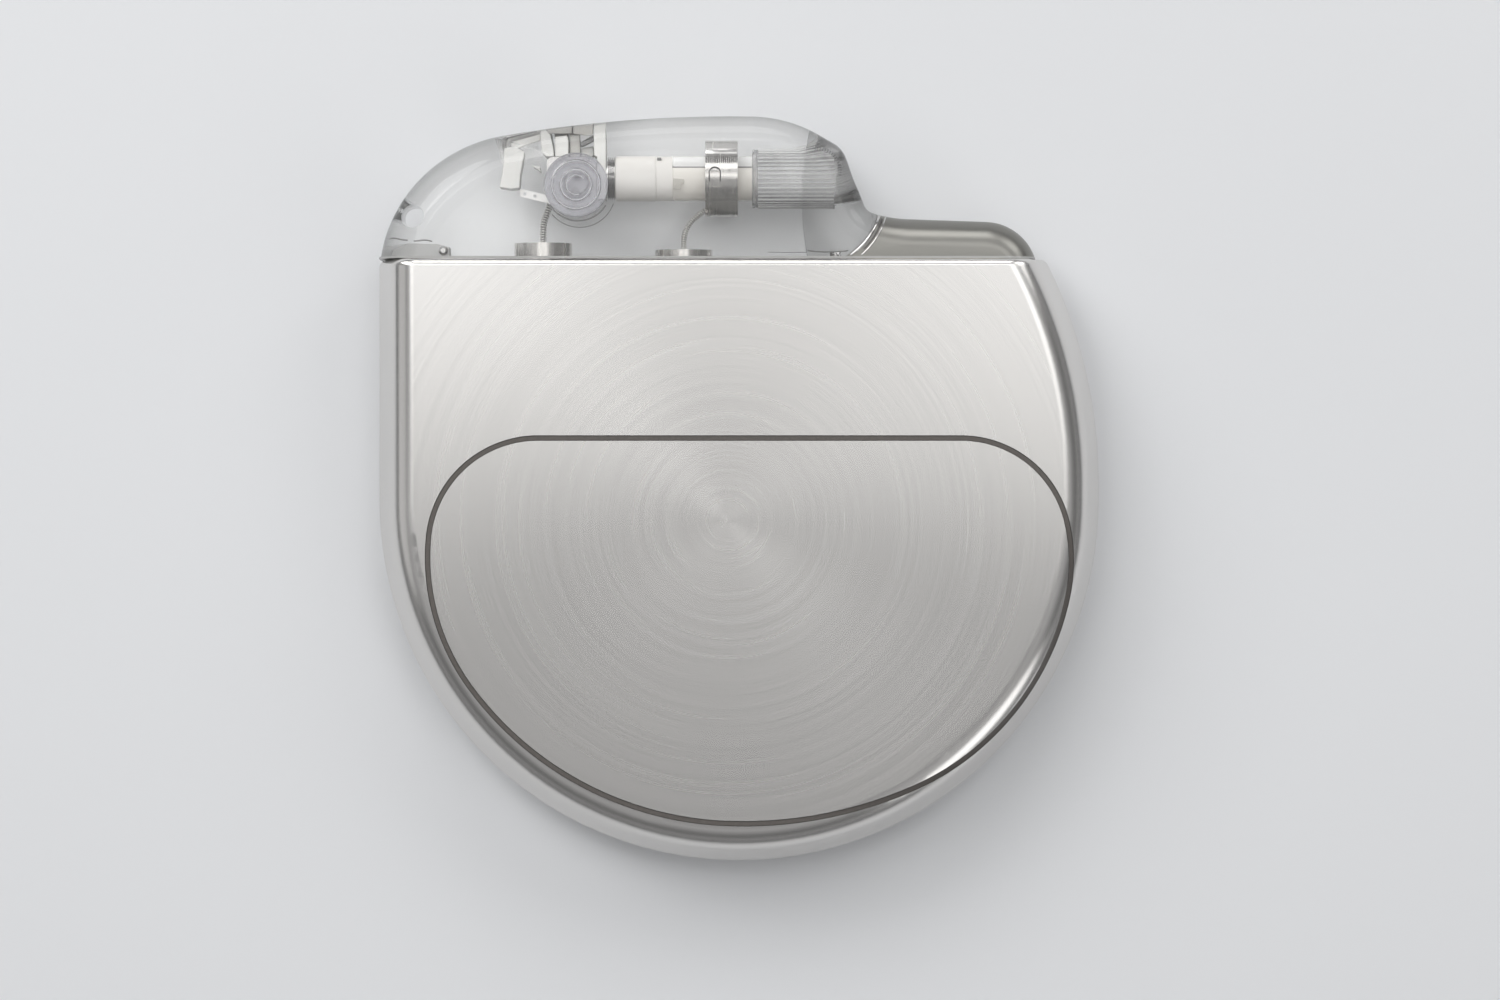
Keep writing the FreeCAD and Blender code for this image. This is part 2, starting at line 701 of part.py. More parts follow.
header_body = header_body.cut([
    tip_block, screw_hole, plug_well, plug_room, block_carrier, tip_strap, tube_room,
    spring_room, sleeve_seat, pin_path, tip_wire, ring_wire, tip_pin, ring_pin,
    header_anchor, anchor_rivet, suture])
header_body = header_body.cut(flange_rooms)
save("header_body", header_body)
save("port_nose", port_nose)
save("tail_piece", tail_piece)

# Module frame: a moulded ring with a bar between the cell and the circuit, board ledges,
# a window in the bar for the cell tabs and two slots for the feedthrough ribbons.
module_frame = can_slab(frame_inset, frame_top, frame_low, frame_high)
frame_outline = module_frame
frame_room = can_slab(frame_inset + frame_wall, frame_top - frame_wall, frame_low, frame_high)
bar = block(V(-can_radius, bar_low, frame_low), V(can_radius, bar_high, frame_high))
inner_face = can_radius - frame_inset - frame_wall
ledge_depth = 1.4
ledge_length = 2.0
ledge_y = 3.0
ledge_inner = inner_face - ledge_depth
ledge_outer = inner_face + frame_wall
ledge_low = frame_top - frame_wall - ledge_depth
ledges = [
    block(V(-ledge_outer, ledge_y, frame_low), V(-ledge_inner, ledge_y + ledge_length, board_low)),
    block(V(ledge_inner, ledge_y, frame_low), V(ledge_outer, ledge_y + ledge_length, board_low)),
]
for x in (-inner_face + ledge_length, inner_face - 4 * ledge_length):
    ledges.append(block(V(x, ledge_low, frame_low), V(x + ledge_length, frame_top, board_low)))
module_frame = module_frame.cut(frame_room).multiFuse([bar] + ledges).common(frame_outline)
window_left = 2.6
window_right = 7.4
module_frame = module_frame.cut(
    block(V(window_left, bar_low, board_low), V(window_right, bar_high, can_thickness)))
slot_half = 0.8
for x in (tip_x, ring_x):
    module_frame = module_frame.cut(
        block(V(x - slot_half, frame_top - 2 * frame_wall, 3.1), V(x + slot_half, frame_top, 4.2)))
module_frame = module_frame.removeSplitter()
save("module_frame", module_frame)

# Insulating sheets between the module and the two faces of the can.
liner_inset = frame_inset + 0.25
liner_top = frame_top - 0.2
front_liner = can_slab(
    liner_inset, liner_top, frame_high + liner_gap, frame_high + liner_gap + liner_thickness)
rear_liner = can_slab(
    liner_inset, liner_top, frame_low - liner_gap - liner_thickness, frame_low - liner_gap)
save("front_liner", front_liner)
save("rear_liner", rear_liner)

# Lithium cell: drawn case, welded lid, glass seal with its terminal, and the stack inside.
lid_low = cell_top - lid_thickness
terminal_x = 3.5
seal_radius = 0.9
terminal_radius = 0.3
cell_outline = can_slab(cell_inset, cell_top, cell_low, cell_high)
half_space = block(V(-can_radius, lid_low, 0), V(can_radius, cell_top, can_thickness))
cell_room = can_slab(cell_inset + cell_wall, cell_top, cell_low + cell_wall, cell_high - cell_wall)
battery_case = cell_outline.cut([half_space, cell_room])
seal_hole = cylinder(seal_radius, V(terminal_x, lid_low, seam_z), V(terminal_x, cell_top, seam_z))
battery_lid = cell_outline.common(half_space).cut(seal_hole)
terminal_low = -3.0
battery_terminal = cylinder(
    terminal_radius, V(terminal_x, terminal_low, seam_z), V(terminal_x, bar_high - 0.05, seam_z))
battery_seal = seal_hole.cut(battery_terminal)
stack_inset = cell_inset + cell_wall + 0.15
anode_low = 3.1
anode_high = 3.9
cathode_low = cell_low + cell_wall + 0.1
cathode_gap = 0.15
cathode_high = cell_high - cell_wall - 0.1
stack_top = -1.6
battery_anode = can_slab(stack_inset, terminal_low, anode_low, anode_high)
battery_separator = Part.makeCompound([
    can_slab(stack_inset, stack_top, anode_low - cathode_gap, anode_low),
    can_slab(stack_inset, stack_top, anode_high, anode_high + cathode_gap),
])
battery_cathode = Part.makeCompound([
    can_slab(stack_inset, stack_top, cathode_low, anode_low - cathode_gap),
    can_slab(stack_inset, stack_top, anode_high + cathode_gap, cathode_high),
])
save("battery_case", battery_case)
save("battery_lid", battery_lid)
save("battery_seal", battery_seal)
save("battery_terminal", battery_terminal)
save("battery_anode", battery_anode)
save("battery_separator", battery_separator)
save("battery_cathode", battery_cathode)


# Flat ribbons, bent in the plane of Y and Z.
def ribbon_strip(points, left, right):
    corners = [V(left, y, z) for y, z in points]
    face = Part.Face(Part.makePolygon(corners + [corners[0]]))
    return face.extrude(V(right - left, 0, 0))


strip = 0.1
over_terminal = seam_z + terminal_radius
battery_tabs = Part.makeCompound([
    ribbon_strip([
        (-0.35, over_terminal), (-0.35, over_terminal + strip), (0.15, over_terminal + strip),
        (0.55, board_high + strip), (1.8, board_high + strip), (1.8, board_high),
        (0.5, board_high), (0.12, over_terminal),
    ], terminal_x - 0.3, terminal_x + 0.3),
    ribbon_strip([
        (cell_top, board_high), (cell_top, 4.6), (cell_top + strip, 4.6),
        (cell_top + strip, board_high + strip), (1.8, board_high + strip), (1.8, board_high),
    ], 6.0, 6.8),
])
over_pin = seam_z + pin_radius
ribbon_points = [
    (13.9, over_pin), (13.9, over_pin + strip), (12.85, over_pin + strip),
    (12.5, board_high + strip), (11.4, board_high + strip), (11.4, board_high),
    (12.52, board_high), (12.88, over_pin),
]
tip_ribbon = ribbon_strip(ribbon_points, tip_x - 0.35, tip_x + 0.35)
ring_ribbon = ribbon_strip(ribbon_points, ring_x - 0.35, ring_x + 0.35)
save("battery_tabs", battery_tabs)
save("tip_ribbon", tip_ribbon)
save("ring_ribbon", ring_ribbon)

# Circuit board and everything mounted on it.
circuit_board = can_slab(cell_inset, board_top, board_low, board_high).common(
    block(V(-can_radius, board_bottom, 0), V(can_radius, board_top, can_thickness)))
save("circuit_board", circuit_board)


def on_board(left, low, width, depth, height):
    return block(V(left, low, board_high), V(left + width, low + depth, board_high + height))


core_length = 6.8
core_right = inner_face - 2.85
core_left = core_right - core_length
chip_gap = 1.4
processor_width = 6.5
processor_left = -6.0
memory_left = processor_left + processor_width + chip_gap
memory_width = 4.6
sensor_width = 3.0
sensor_left = processor_left - chip_gap - sensor_width
crystal_length = 3.4
crystal_width = 1.5
crystal_left = sensor_left - chip_gap
processor_chip = on_board(processor_left, 3.4, processor_width, 6.0, 1.3)
memory_chip = on_board(memory_left, 6.0, memory_width, 3.6, 1.0)
sensor_chip = on_board(sensor_left, 2.0, sensor_width, sensor_width, 0.9)
crystal_low = V(crystal_left, 7.0, board_high)
timing_crystal = rounded_block(
    crystal_low, crystal_low + V(crystal_length, crystal_width, 0.9), 0.35)
capacitor_length = 3.5
capacitor_width = 2.8
capacitor_height = 1.9
capacitor_pitch = 3.4
capacitor_left = -inner_face + 2.05
capacitor_low = 1.6
capacitor_step = 0.3
capacitors = []
for step in range(3):
    capacitors.append(on_board(
        capacitor_left + capacitor_step * step, capacitor_low + capacitor_pitch * step,
        capacitor_length, capacitor_width, capacitor_height))
tantalum_capacitors = Part.makeCompound(capacitors)
chip_length = 1.0
chip_width = 0.5
capacitor_right = capacitor_left + 2 * capacitor_step + capacitor_length
left_column = (capacitor_right + crystal_left - chip_length) / 2
right_column = (memory_left + memory_width + core_left - chip_length) / 2
chip_places = [
    (left_column, 2.0), (left_column, 3.4), (left_column, 4.8), (left_column + 0.6, 9.6),
    (-7.0, 10.8), (-0.4, 11.0), (1.2, 2.6), (2.6, 2.6),
    (right_column, 3.2), (right_column, 4.6), (right_column, 6.2),
]
chip_components = Part.makeCompound(
    [on_board(x, y, chip_length, chip_width, chip_width) for x, y in chip_places])
save("processor_chip", processor_chip)
save("memory_chip", memory_chip)
save("sensor_chip", sensor_chip)
save("timing_crystal", timing_crystal)
save("tantalum_capacitors", tantalum_capacitors)
save("chip_components", chip_components)

# Telemetry coil: a flat winding around a ferrite core with two end flanges.
core_y = 4.2
core_z = board_high + 1.2
core_half = 1.2
web_half = 0.55
flange = 0.6
telemetry_core = block(
    V(core_left, core_y - core_half, core_z - core_half),
    V(core_left + flange, core_y + core_half, core_z + core_half))
telemetry_core = telemetry_core.multiFuse([
    block(V(core_right - flange, core_y - core_half, core_z - core_half),
          V(core_right, core_y + core_half, core_z + core_half)),
    block(V(core_left, core_y - web_half, core_z - web_half),
          V(core_right, core_y + web_half, core_z + web_half)),
]).removeSplitter()
winding_half = core_half - 0.15
telemetry_coil = block(
    V(core_left + flange, core_y - winding_half, core_z - winding_half),
    V(core_right - flange, core_y + winding_half, core_z + winding_half)).cut(
    block(V(core_left, core_y - web_half, core_z - web_half),
          V(core_right, core_y + web_half, core_z + web_half)))
save("telemetry_core", telemetry_core)
save("telemetry_coil", telemetry_coil)

# Magnet switch: a small glass capsule; getter pad: a moisture absorber under the board.
switch_radius = 0.7
switch_cone = 0.3
switch_length = 4.6
switch_left = V(core_left - 2.8, 10.6, board_high + switch_radius)
along = V(1, 0, 0)
magnet_switch = cylinder(
    switch_radius, switch_left + along * switch_cone, switch_left + along * (switch_length - switch_cone))
magnet_switch = magnet_switch.multiFuse([
    Part.makeCone(switch_radius / 2, switch_radius, switch_cone, switch_left, along),
    Part.makeCone(switch_radius / 2, switch_radius, switch_cone,
                  switch_left + along * switch_length, along * -1),
])
pad_size = 6.0
pad_thickness = 0.7
pad_left = -8.0
pad_low = 3.0
getter_pad = block(
    V(pad_left, pad_low, board_low - pad_thickness), V(pad_left + pad_size, pad_low + pad_size, board_low))
save("magnet_switch", magnet_switch)
save("getter_pad", getter_pad)
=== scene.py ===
import bpy
import math
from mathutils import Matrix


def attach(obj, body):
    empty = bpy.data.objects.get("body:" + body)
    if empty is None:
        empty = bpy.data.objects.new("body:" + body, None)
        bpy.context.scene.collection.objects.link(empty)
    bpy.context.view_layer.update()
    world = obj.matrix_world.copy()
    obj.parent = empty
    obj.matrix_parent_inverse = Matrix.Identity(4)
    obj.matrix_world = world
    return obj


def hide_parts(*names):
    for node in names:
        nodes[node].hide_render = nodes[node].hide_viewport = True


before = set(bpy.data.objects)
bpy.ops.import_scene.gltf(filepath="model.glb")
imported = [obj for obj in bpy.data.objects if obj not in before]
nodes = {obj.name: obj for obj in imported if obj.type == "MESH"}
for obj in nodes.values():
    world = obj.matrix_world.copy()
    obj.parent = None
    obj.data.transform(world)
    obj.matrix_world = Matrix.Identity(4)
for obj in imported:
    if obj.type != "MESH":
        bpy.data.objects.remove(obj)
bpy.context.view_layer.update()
bpy.ops.object.select_all(action="DESELECT")
mm = 0.001

# The stage. A large pale sheet of paper lies under the device, which rests on its flat back.
# Eight soft lamps stand around the header side and above the face.
scene = bpy.context.scene
scene.view_settings.view_transform = "Standard"
camera_data = bpy.data.cameras.new("camera")
camera_data.lens = 111.6
camera_data.sensor_width = 36.0
camera_data.clip_start = 0.01
camera = bpy.data.objects.new("camera", camera_data)
camera.location = (0.71 * mm, 0.03 * mm, 303.5 * mm)
scene.collection.objects.link(camera)
scene.camera = camera


def set_sockets(node, **values):
    """Sets a shader's sockets by name, where an underscore stands for a space."""
    for socket, value in values.items():
        node.inputs[socket.replace("_", " ")].default_value = value
    return node


def shader(tree, kind, **values):
    """A shader node with its sockets set."""
    return set_sockets(tree.nodes.new("ShaderNode" + kind), **values)


def sums(tree, kind, operation):
    """A Math or Vector Math node."""
    node = shader(tree, kind)
    node.operation = operation
    return node


def colour_mix(tree, **values):
    """A node that mixes two colours."""
    mix = shader(tree, "Mix")
    mix.data_type = "RGBA"
    return set_sockets(mix, **values)


def shaded(colour, share=1.0):
    """A colour made darker or lighter by a share, never above white."""
    return (*[min(c * share, 1) for c in colour], 1)


def new_finish(name, **values):
    """A material with its node tree, surface, link call and the piece's own coordinates."""
    finish = bpy.data.materials.new(name)
    finish.use_nodes = True
    tree = finish.node_tree
    skin = set_sockets(tree.nodes["Principled BSDF"], **values)
    return finish, tree, skin, tree.links.new, shader(tree, "TexCoord").outputs["Object"]


bpy.ops.mesh.primitive_plane_add(size=6.0, location=(0, 0, -0.02 * mm))
floor = bpy.context.object
floor.name = "paper_sheet"
paper, tree, skin, link, place = new_finish(
    "paper", Roughness=0.85, Specular_IOR_Level=0.2, Emission_Color=(0.97, 0.98, 1.0, 1))
fibre = shader(tree, "TexNoise", Scale=18.0, Detail=3.0)
shade = colour_mix(tree, A=(0.775, 0.785, 0.800, 1), B=(0.795, 0.805, 0.820, 1))
link(place, fibre.inputs["Vector"])
link(fibre.outputs["Fac"], shade.inputs["Factor"])
link(shade.outputs["Result"], skin.inputs["Base Color"])
rays = shader(tree, "LightPath")
sight = sums(tree, "Math", "ADD")
lift = sums(tree, "Math", "MULTIPLY")
lift.inputs[1].default_value = 0.035
link(rays.outputs["Is Camera Ray"], sight.inputs[0])
link(rays.outputs["Is Transmission Ray"], sight.inputs[1])
link(sight.outputs["Value"], lift.inputs[0])
link(lift.outputs["Value"], skin.inputs["Emission Strength"])
floor.data.materials.append(paper)

for name, spot, size, power in (
        ("lamp_back_left", (-0.300, 0.300, 0.265), 0.26, 0.66),
        ("lamp_back", (0, 0.424, 0.265), 0.26, 0.46),
        ("lamp_back_right", (0.300, 0.300, 0.265), 0.26, 0.38),
        ("lamp_left", (-0.424, 0, 0.265), 0.26, 0.07),
        ("lamp_high_left", (-0.218, 0.218, 0.394), 0.24, 0.37),
        ("lamp_front_right", (0.300, -0.300, 0.265), 0.26, 0.23),
        ("lamp_top_left", (-0.109, 0.109, 0.476), 0.24, 0.19),
        ("lamp_top_right", (0.109, 0.109, 0.476), 0.24, 0.225)):
    data = bpy.data.lights.new(name, "AREA")
    data.shape = "DISK"
    data.size = size
    data.energy = power
    lamp = bpy.data.objects.new(name, data)
    lamp.location = spot
    lamp.rotation_euler = (-lamp.location).to_track_quat("-Z", "Y").to_euler()
    scene.collection.objects.link(lamp)

world = bpy.data.worlds.new("studio")
scene.world = world
world.use_nodes = True
tree = world.node_tree
link = tree.links.new
sky = tree.nodes["Background"]
split = shader(tree, "SeparateXYZ")
ramp = shader(tree, "ValToRGB")
link(shader(tree, "TexCoord").outputs["Generated"], split.inputs["Vector"])
link(split.outputs["Z"], ramp.inputs["Fac"])
link(ramp.outputs["Color"], sky.inputs["Color"])
bands = ramp.color_ramp.elements
bands[0].color = (0.02, 0.02, 0.02, 1)
bands[1].color = (0.04, 0.04, 0.04, 1)
for level, grey in ((0.15, 0.15), (0.35, 0.31), (0.55, 0.08), (0.75, 0.235), (0.92, 0.43)):
    bands.new(level).color = (grey, grey, grey * 1.01, 1)
seen = shader(tree, "Background", Color=(0.72, 0.73, 0.745, 1))
swap = shader(tree, "MixShader")
link(shader(tree, "LightPath").outputs["Is Camera Ray"], swap.inputs["Fac"])
link(sky.outputs["Background"], swap.inputs[1])
link(seen.outputs["Background"], swap.inputs[2])
link(swap.outputs["Shader"], tree.nodes["World Output"].inputs["Surface"])

# Front half shell: deep-drawn titanium sheet, its face turned to a fine circular brushing and
# its shoulder and wall finished around the outline. The frame line is engraved and darkened.
brushing_centre = (-0.7 * mm, -1.3 * mm)


def only(piece):
    """Makes a piece the only selected one, and the active one."""
    bpy.ops.object.select_all(action="DESELECT")
    piece.select_set(True)
    bpy.context.view_layer.objects.active = piece


def modified(piece, kind, **settings):
    """Gives the active piece a modifier and applies it."""
    bpy.ops.object.modifier_add(type=kind)
    modifier = piece.modifiers[-1]
    for setting, value in settings.items():
        setattr(modifier, setting, value)
    bpy.ops.object.modifier_apply(modifier=modifier.name)


def smooth_off(piece, crease=28.0):
    """Smooth shading that keeps flat faces flat."""
    only(piece)
    bpy.ops.object.shade_smooth_by_angle(angle=math.radians(crease))
    modified(piece, "WEIGHTED_NORMAL", keep_sharp=True)


def fair_copy(node, name):
    """A smooth-shaded piece in the exact place of a solid."""
    piece = bpy.data.objects.new(name, nodes[node].data.copy())
    scene.collection.objects.link(piece)
    only(piece)
    piece.data.materials.clear()
    bpy.ops.mesh.customdata_custom_splitnormals_clear()
    bpy.ops.object.mode_set(mode="EDIT")
    bpy.ops.mesh.select_all(action="SELECT")
    bpy.ops.mesh.remove_doubles(threshold=0.0005 * mm)
    bpy.ops.mesh.select_all(action="DESELECT")
    bpy.ops.object.mode_set(mode="OBJECT")
    smooth_off(piece)
    return piece


def turned_brushing(name, colour, roughness, edge_roughness, centre, streak, spread):
    """Titanium brushed in circles: fine rings of uneven length around a centre."""
    finish, tree, skin, link, place = new_finish(name, Metallic=1.0, Anisotropic=spread)
    shift = shader(tree, "Mapping", Location=(-centre[0], -centre[1], 0))
    split = shader(tree, "SeparateXYZ")
    outward = shader(tree, "CombineXYZ")
    direction = sums(tree, "VectorMath", "NORMALIZE")
    reach = sums(tree, "VectorMath", "LENGTH")
    arc = set_sockets(sums(tree, "VectorMath", "SCALE"), Scale=0.55)
    lift = sums(tree, "Math", "MULTIPLY")
    lift.inputs[1].default_value = 6200.0
    level = sums(tree, "Math", "MULTIPLY_ADD")
    level.inputs[1].default_value = 6000.0
    ringing = shader(tree, "CombineXYZ")
    together = sums(tree, "VectorMath", "ADD")
    rings = shader(tree, "TexNoise", Scale=1.0, Detail=2.0, Roughness=0.5)
    link(place, shift.inputs["Vector"])
    link(shift.outputs["Vector"], split.inputs["Vector"])
    link(split.outputs["X"], outward.inputs["X"])
    link(split.outputs["Y"], outward.inputs["Y"])
    link(outward.outputs["Vector"], direction.inputs[0])
    link(outward.outputs["Vector"], reach.inputs[0])
    link(direction.outputs["Vector"], arc.inputs[0])
    link(reach.outputs["Value"], lift.inputs[0])
    link(split.outputs["Z"], level.inputs[0])
    link(lift.outputs["Value"], level.inputs[2])
    link(level.outputs["Value"], ringing.inputs["Z"])
    link(arc.outputs["Vector"], together.inputs[0])
    link(ringing.outputs["Vector"], together.inputs[1])
    link(together.outputs["Vector"], rings.inputs["Vector"])
    tone = shader(tree, "MapRange", From_Min=0.3, From_Max=0.7, To_Min=1.0 - streak,
                  To_Max=1.0 + streak)
    flat = shader(tree, "MapRange", From_Min=6.96 * mm, From_Max=6.999 * mm)
    calm = shader(tree, "Mix", A=0.5)
    paint = colour_mix(tree, Factor=1.0, A=(*colour, 1))
    paint.blend_type = "MULTIPLY"
    rough = shader(tree, "MapRange", From_Min=0.3, From_Max=0.7, To_Min=-0.004, To_Max=0.004)
    soft = shader(tree, "MapRange", To_Min=edge_roughness, To_Max=roughness)
    gloss = sums(tree, "Math", "ADD")
    link(split.outputs["Z"], flat.inputs["Value"])
    link(flat.outputs["Result"], calm.inputs["Factor"])
    link(rings.outputs["Fac"], calm.inputs["B"])
    link(flat.outputs["Result"], soft.inputs["Value"])
    link(soft.outputs["Result"], gloss.inputs[0])
    link(rough.outputs["Result"], gloss.inputs[1])
    link(calm.outputs["Result"], tone.inputs["Value"])
    link(tone.outputs["Result"], paint.inputs["B"])
    link(paint.outputs["Result"], skin.inputs["Base Color"])
    link(calm.outputs["Result"], rough.inputs["Value"])
    link(gloss.outputs["Value"], skin.inputs["Roughness"])
    link(direction.outputs["Vector"], skin.inputs["Tangent"])
    return finish


def grained(name, colour, roughness, metallic=0.0, grain=900.0, vary=0.06, relief=0.06):
    """A plain cast, moulded or rolled surface with a fine irregular grain."""
    finish, tree, skin, link, place = new_finish(name, Metallic=metallic)
    spots = shader(tree, "TexNoise", Scale=grain, Detail=3.0)
    paint = colour_mix(tree, A=shaded(colour, 1 - vary), B=shaded(colour, 1 + vary))
    rough = shader(tree, "MapRange", To_Min=max(roughness - 0.05, 0.0), To_Max=roughness + 0.05)
    bump = shader(tree, "Bump", Strength=relief, Distance=0.02 * mm)
    link(place, spots.inputs["Vector"])
    link(spots.outputs["Fac"], paint.inputs["Factor"])
    link(paint.outputs["Result"], skin.inputs["Base Color"])
    link(spots.outputs["Fac"], rough.inputs["Value"])
    link(rough.outputs["Result"], skin.inputs["Roughness"])
    link(spots.outputs["Fac"], bump.inputs["Height"])
    link(bump.outputs["Normal"], skin.inputs["Normal"])
    return finish


def pick(piece, kind, test):
    """Selects the vertices, edges or polygons that pass a test, and nothing else."""
    kinds = ("vertices", "edges", "polygons")
    bpy.context.tool_settings.mesh_select_mode = [kind == each for each in kinds]
    for each in kinds:
        parts = getattr(piece.data, each)
        parts.foreach_set("select", [False] * len(parts))
    for item in getattr(piece.data, kind):
        item.select = test(item)


def outline_vertex(x, y, z):
    """One vertex to draw an outline from, in edit mode."""
    bpy.ops.object.select_all(action="DESELECT")
    bpy.ops.mesh.primitive_plane_add(size=0.1 * mm, location=(0, 0, 0))
    piece = bpy.context.object
    bpy.ops.object.mode_set(mode="EDIT")
    bpy.ops.mesh.select_all(action="SELECT")
    bpy.ops.mesh.merge(type="CENTER")
    bpy.ops.transform.translate(value=(x * mm, y * mm, z * mm))
    return piece


def draw_run(x, y, heading, length):
    """Extrudes the selected end of an outline along a straight run."""
    turn = math.radians(heading)
    step = (length * math.cos(turn) * mm, length * math.sin(turn) * mm, 0)
    bpy.ops.mesh.extrude_region_move(TRANSFORM_OT_translate={"value": step})
    return x + step[0] / mm, y + step[1] / mm


def draw_arc(x, y, heading, radius, bend, steps):
    """Spins the selected end of an outline along an arc that leaves in the heading."""
    side = 90 if bend > 0 else -90
    out = math.radians(heading + side)
    cx, cy = x + radius * math.cos(out), y + radius * math.sin(out)
    bpy.ops.mesh.spin(
        steps=steps, angle=-math.radians(bend), center=(cx * mm, cy * mm, 0), axis=(0, 0, 1))
    back = math.radians(heading + bend + side)
    return cx - radius * math.cos(back), cy - radius * math.sin(back), heading + bend


def carve(piece, tool, how="DIFFERENCE"):
    """Cuts, keeps or joins a piece by a tool, which is used up."""
    only(piece)
    modified(piece, "BOOLEAN", operation=how, solver="EXACT", object=tool)
    bpy.data.objects.remove(tool)


def laid_on(route, target):
    """Lets a drawn route down onto the upper side of a piece."""
    only(route)
    modified(
        route, "SHRINKWRAP", target=target, wrap_method="PROJECT", use_project_z=True,
        use_negative_direction=True, use_positive_direction=False)
    return route


shell_titanium = turned_brushing(
    "shell_titanium", (0.79, 0.775, 0.755), 0.27, 0.23, brushing_centre, streak=0.025, spread=0.6)
engraving = grained("engraving", (0.13, 0.118, 0.108), 0.6, metallic=0.2, grain=9000.0, vary=0.4)
engraving_edge = grained("engraving_edge", (0.04, 0.036, 0.033), 0.6, grain=9000.0, vary=0.4)
front = fair_copy("front_shell", "front_half_shell")
bpy.ops.mesh.customdata_custom_splitnormals_clear()
line_left = -12.82
line_top = 3.98
line_run = 27.0
line_width = 0.35
line_depth = 0.05
line_stand = 8.0
line_arcs = (
    (6.92, 76.72), (11.33, 24.54), (16.88, 54.99), (27.16, 26.32), (21.32, 51.0),
    (14.01, 41.46), (7.0, 84.97))
sides = []
for side in (-0.5, 0.5):
    shift = side * line_width
    sides.append(outline_vertex(line_left, line_top + shift, line_stand))
    x, y = draw_run(line_left, line_top + shift, 0, line_run)
    turn = 0
    for radius, bend in line_arcs:
        x, y, turn = draw_arc(x, y, turn, radius + shift, -bend, round(bend / 2))
    bpy.ops.mesh.select_all(action="SELECT")
    bpy.ops.mesh.remove_doubles(threshold=0.02 * mm)
    bpy.ops.object.mode_set(mode="OBJECT")
for each in sides:
    each.select_set(True)
bpy.ops.object.join()
line = bpy.context.object
bpy.ops.object.mode_set(mode="EDIT")
bpy.ops.mesh.select_all(action="SELECT")
bpy.ops.mesh.bridge_edge_loops()
bpy.ops.object.mode_set(mode="OBJECT")
laid_on(line, front)
bpy.ops.object.mode_set(mode="EDIT")
bpy.ops.mesh.select_all(action="SELECT")
bpy.ops.transform.translate(value=(0, 0, -line_depth * mm))
bpy.ops.mesh.extrude_region_move(TRANSFORM_OT_translate={"value": (0, 0, 0.5 * mm)})
bpy.ops.mesh.select_all(action="SELECT")
bpy.ops.mesh.normals_make_consistent(inside=False)
bpy.ops.object.mode_set(mode="OBJECT")
for finish in (shell_titanium, engraving, engraving_edge):
    line.data.materials.append(finish)
    front.data.materials.append(finish)
line.data.polygons.foreach_set("material_index", [1] * len(line.data.polygons))
modified(
    line, "BEVEL", width=0.045 * mm, segments=1, material=2, limit_method="ANGLE",
    angle_limit=math.radians(50))
carve(front, line)
smooth_off(front)
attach(front, "device")
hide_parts("front_shell")

# Rear half shell: the same drawn titanium with the same brushing, seam-welded to the front one
# at half thickness.
rear = fair_copy("rear_shell", "rear_half_shell")
rear.data.materials.append(shell_titanium)
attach(rear, "device")
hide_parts("rear_shell")

# Bond line: the thin film of adhesive, cured grey, between the foot of the header and the flat
# top of the can. It keeps its solid.
adhesive = grained("adhesive", (0.42, 0.42, 0.41), 0.25, grain=500.0, vary=0.1)
nodes["bond_line"].data.materials.clear()
nodes["bond_line"].data.materials.append(adhesive)

# Header body: clear resin cast around the contacts, with a rounded outer edge. It is drawn as
# one outline with the port nose and the tail, and each piece keeps its own part of it.
header_low = 0.55
header_high = 6.45
header_foot = 15.62
header_round = 2.9
header_ends = 14.2
edge_share = 0.58
ease_from = -14.5
ease_run = 4.0
crown_start = (-15.5, 23.3873)
crown_heading = 9.813


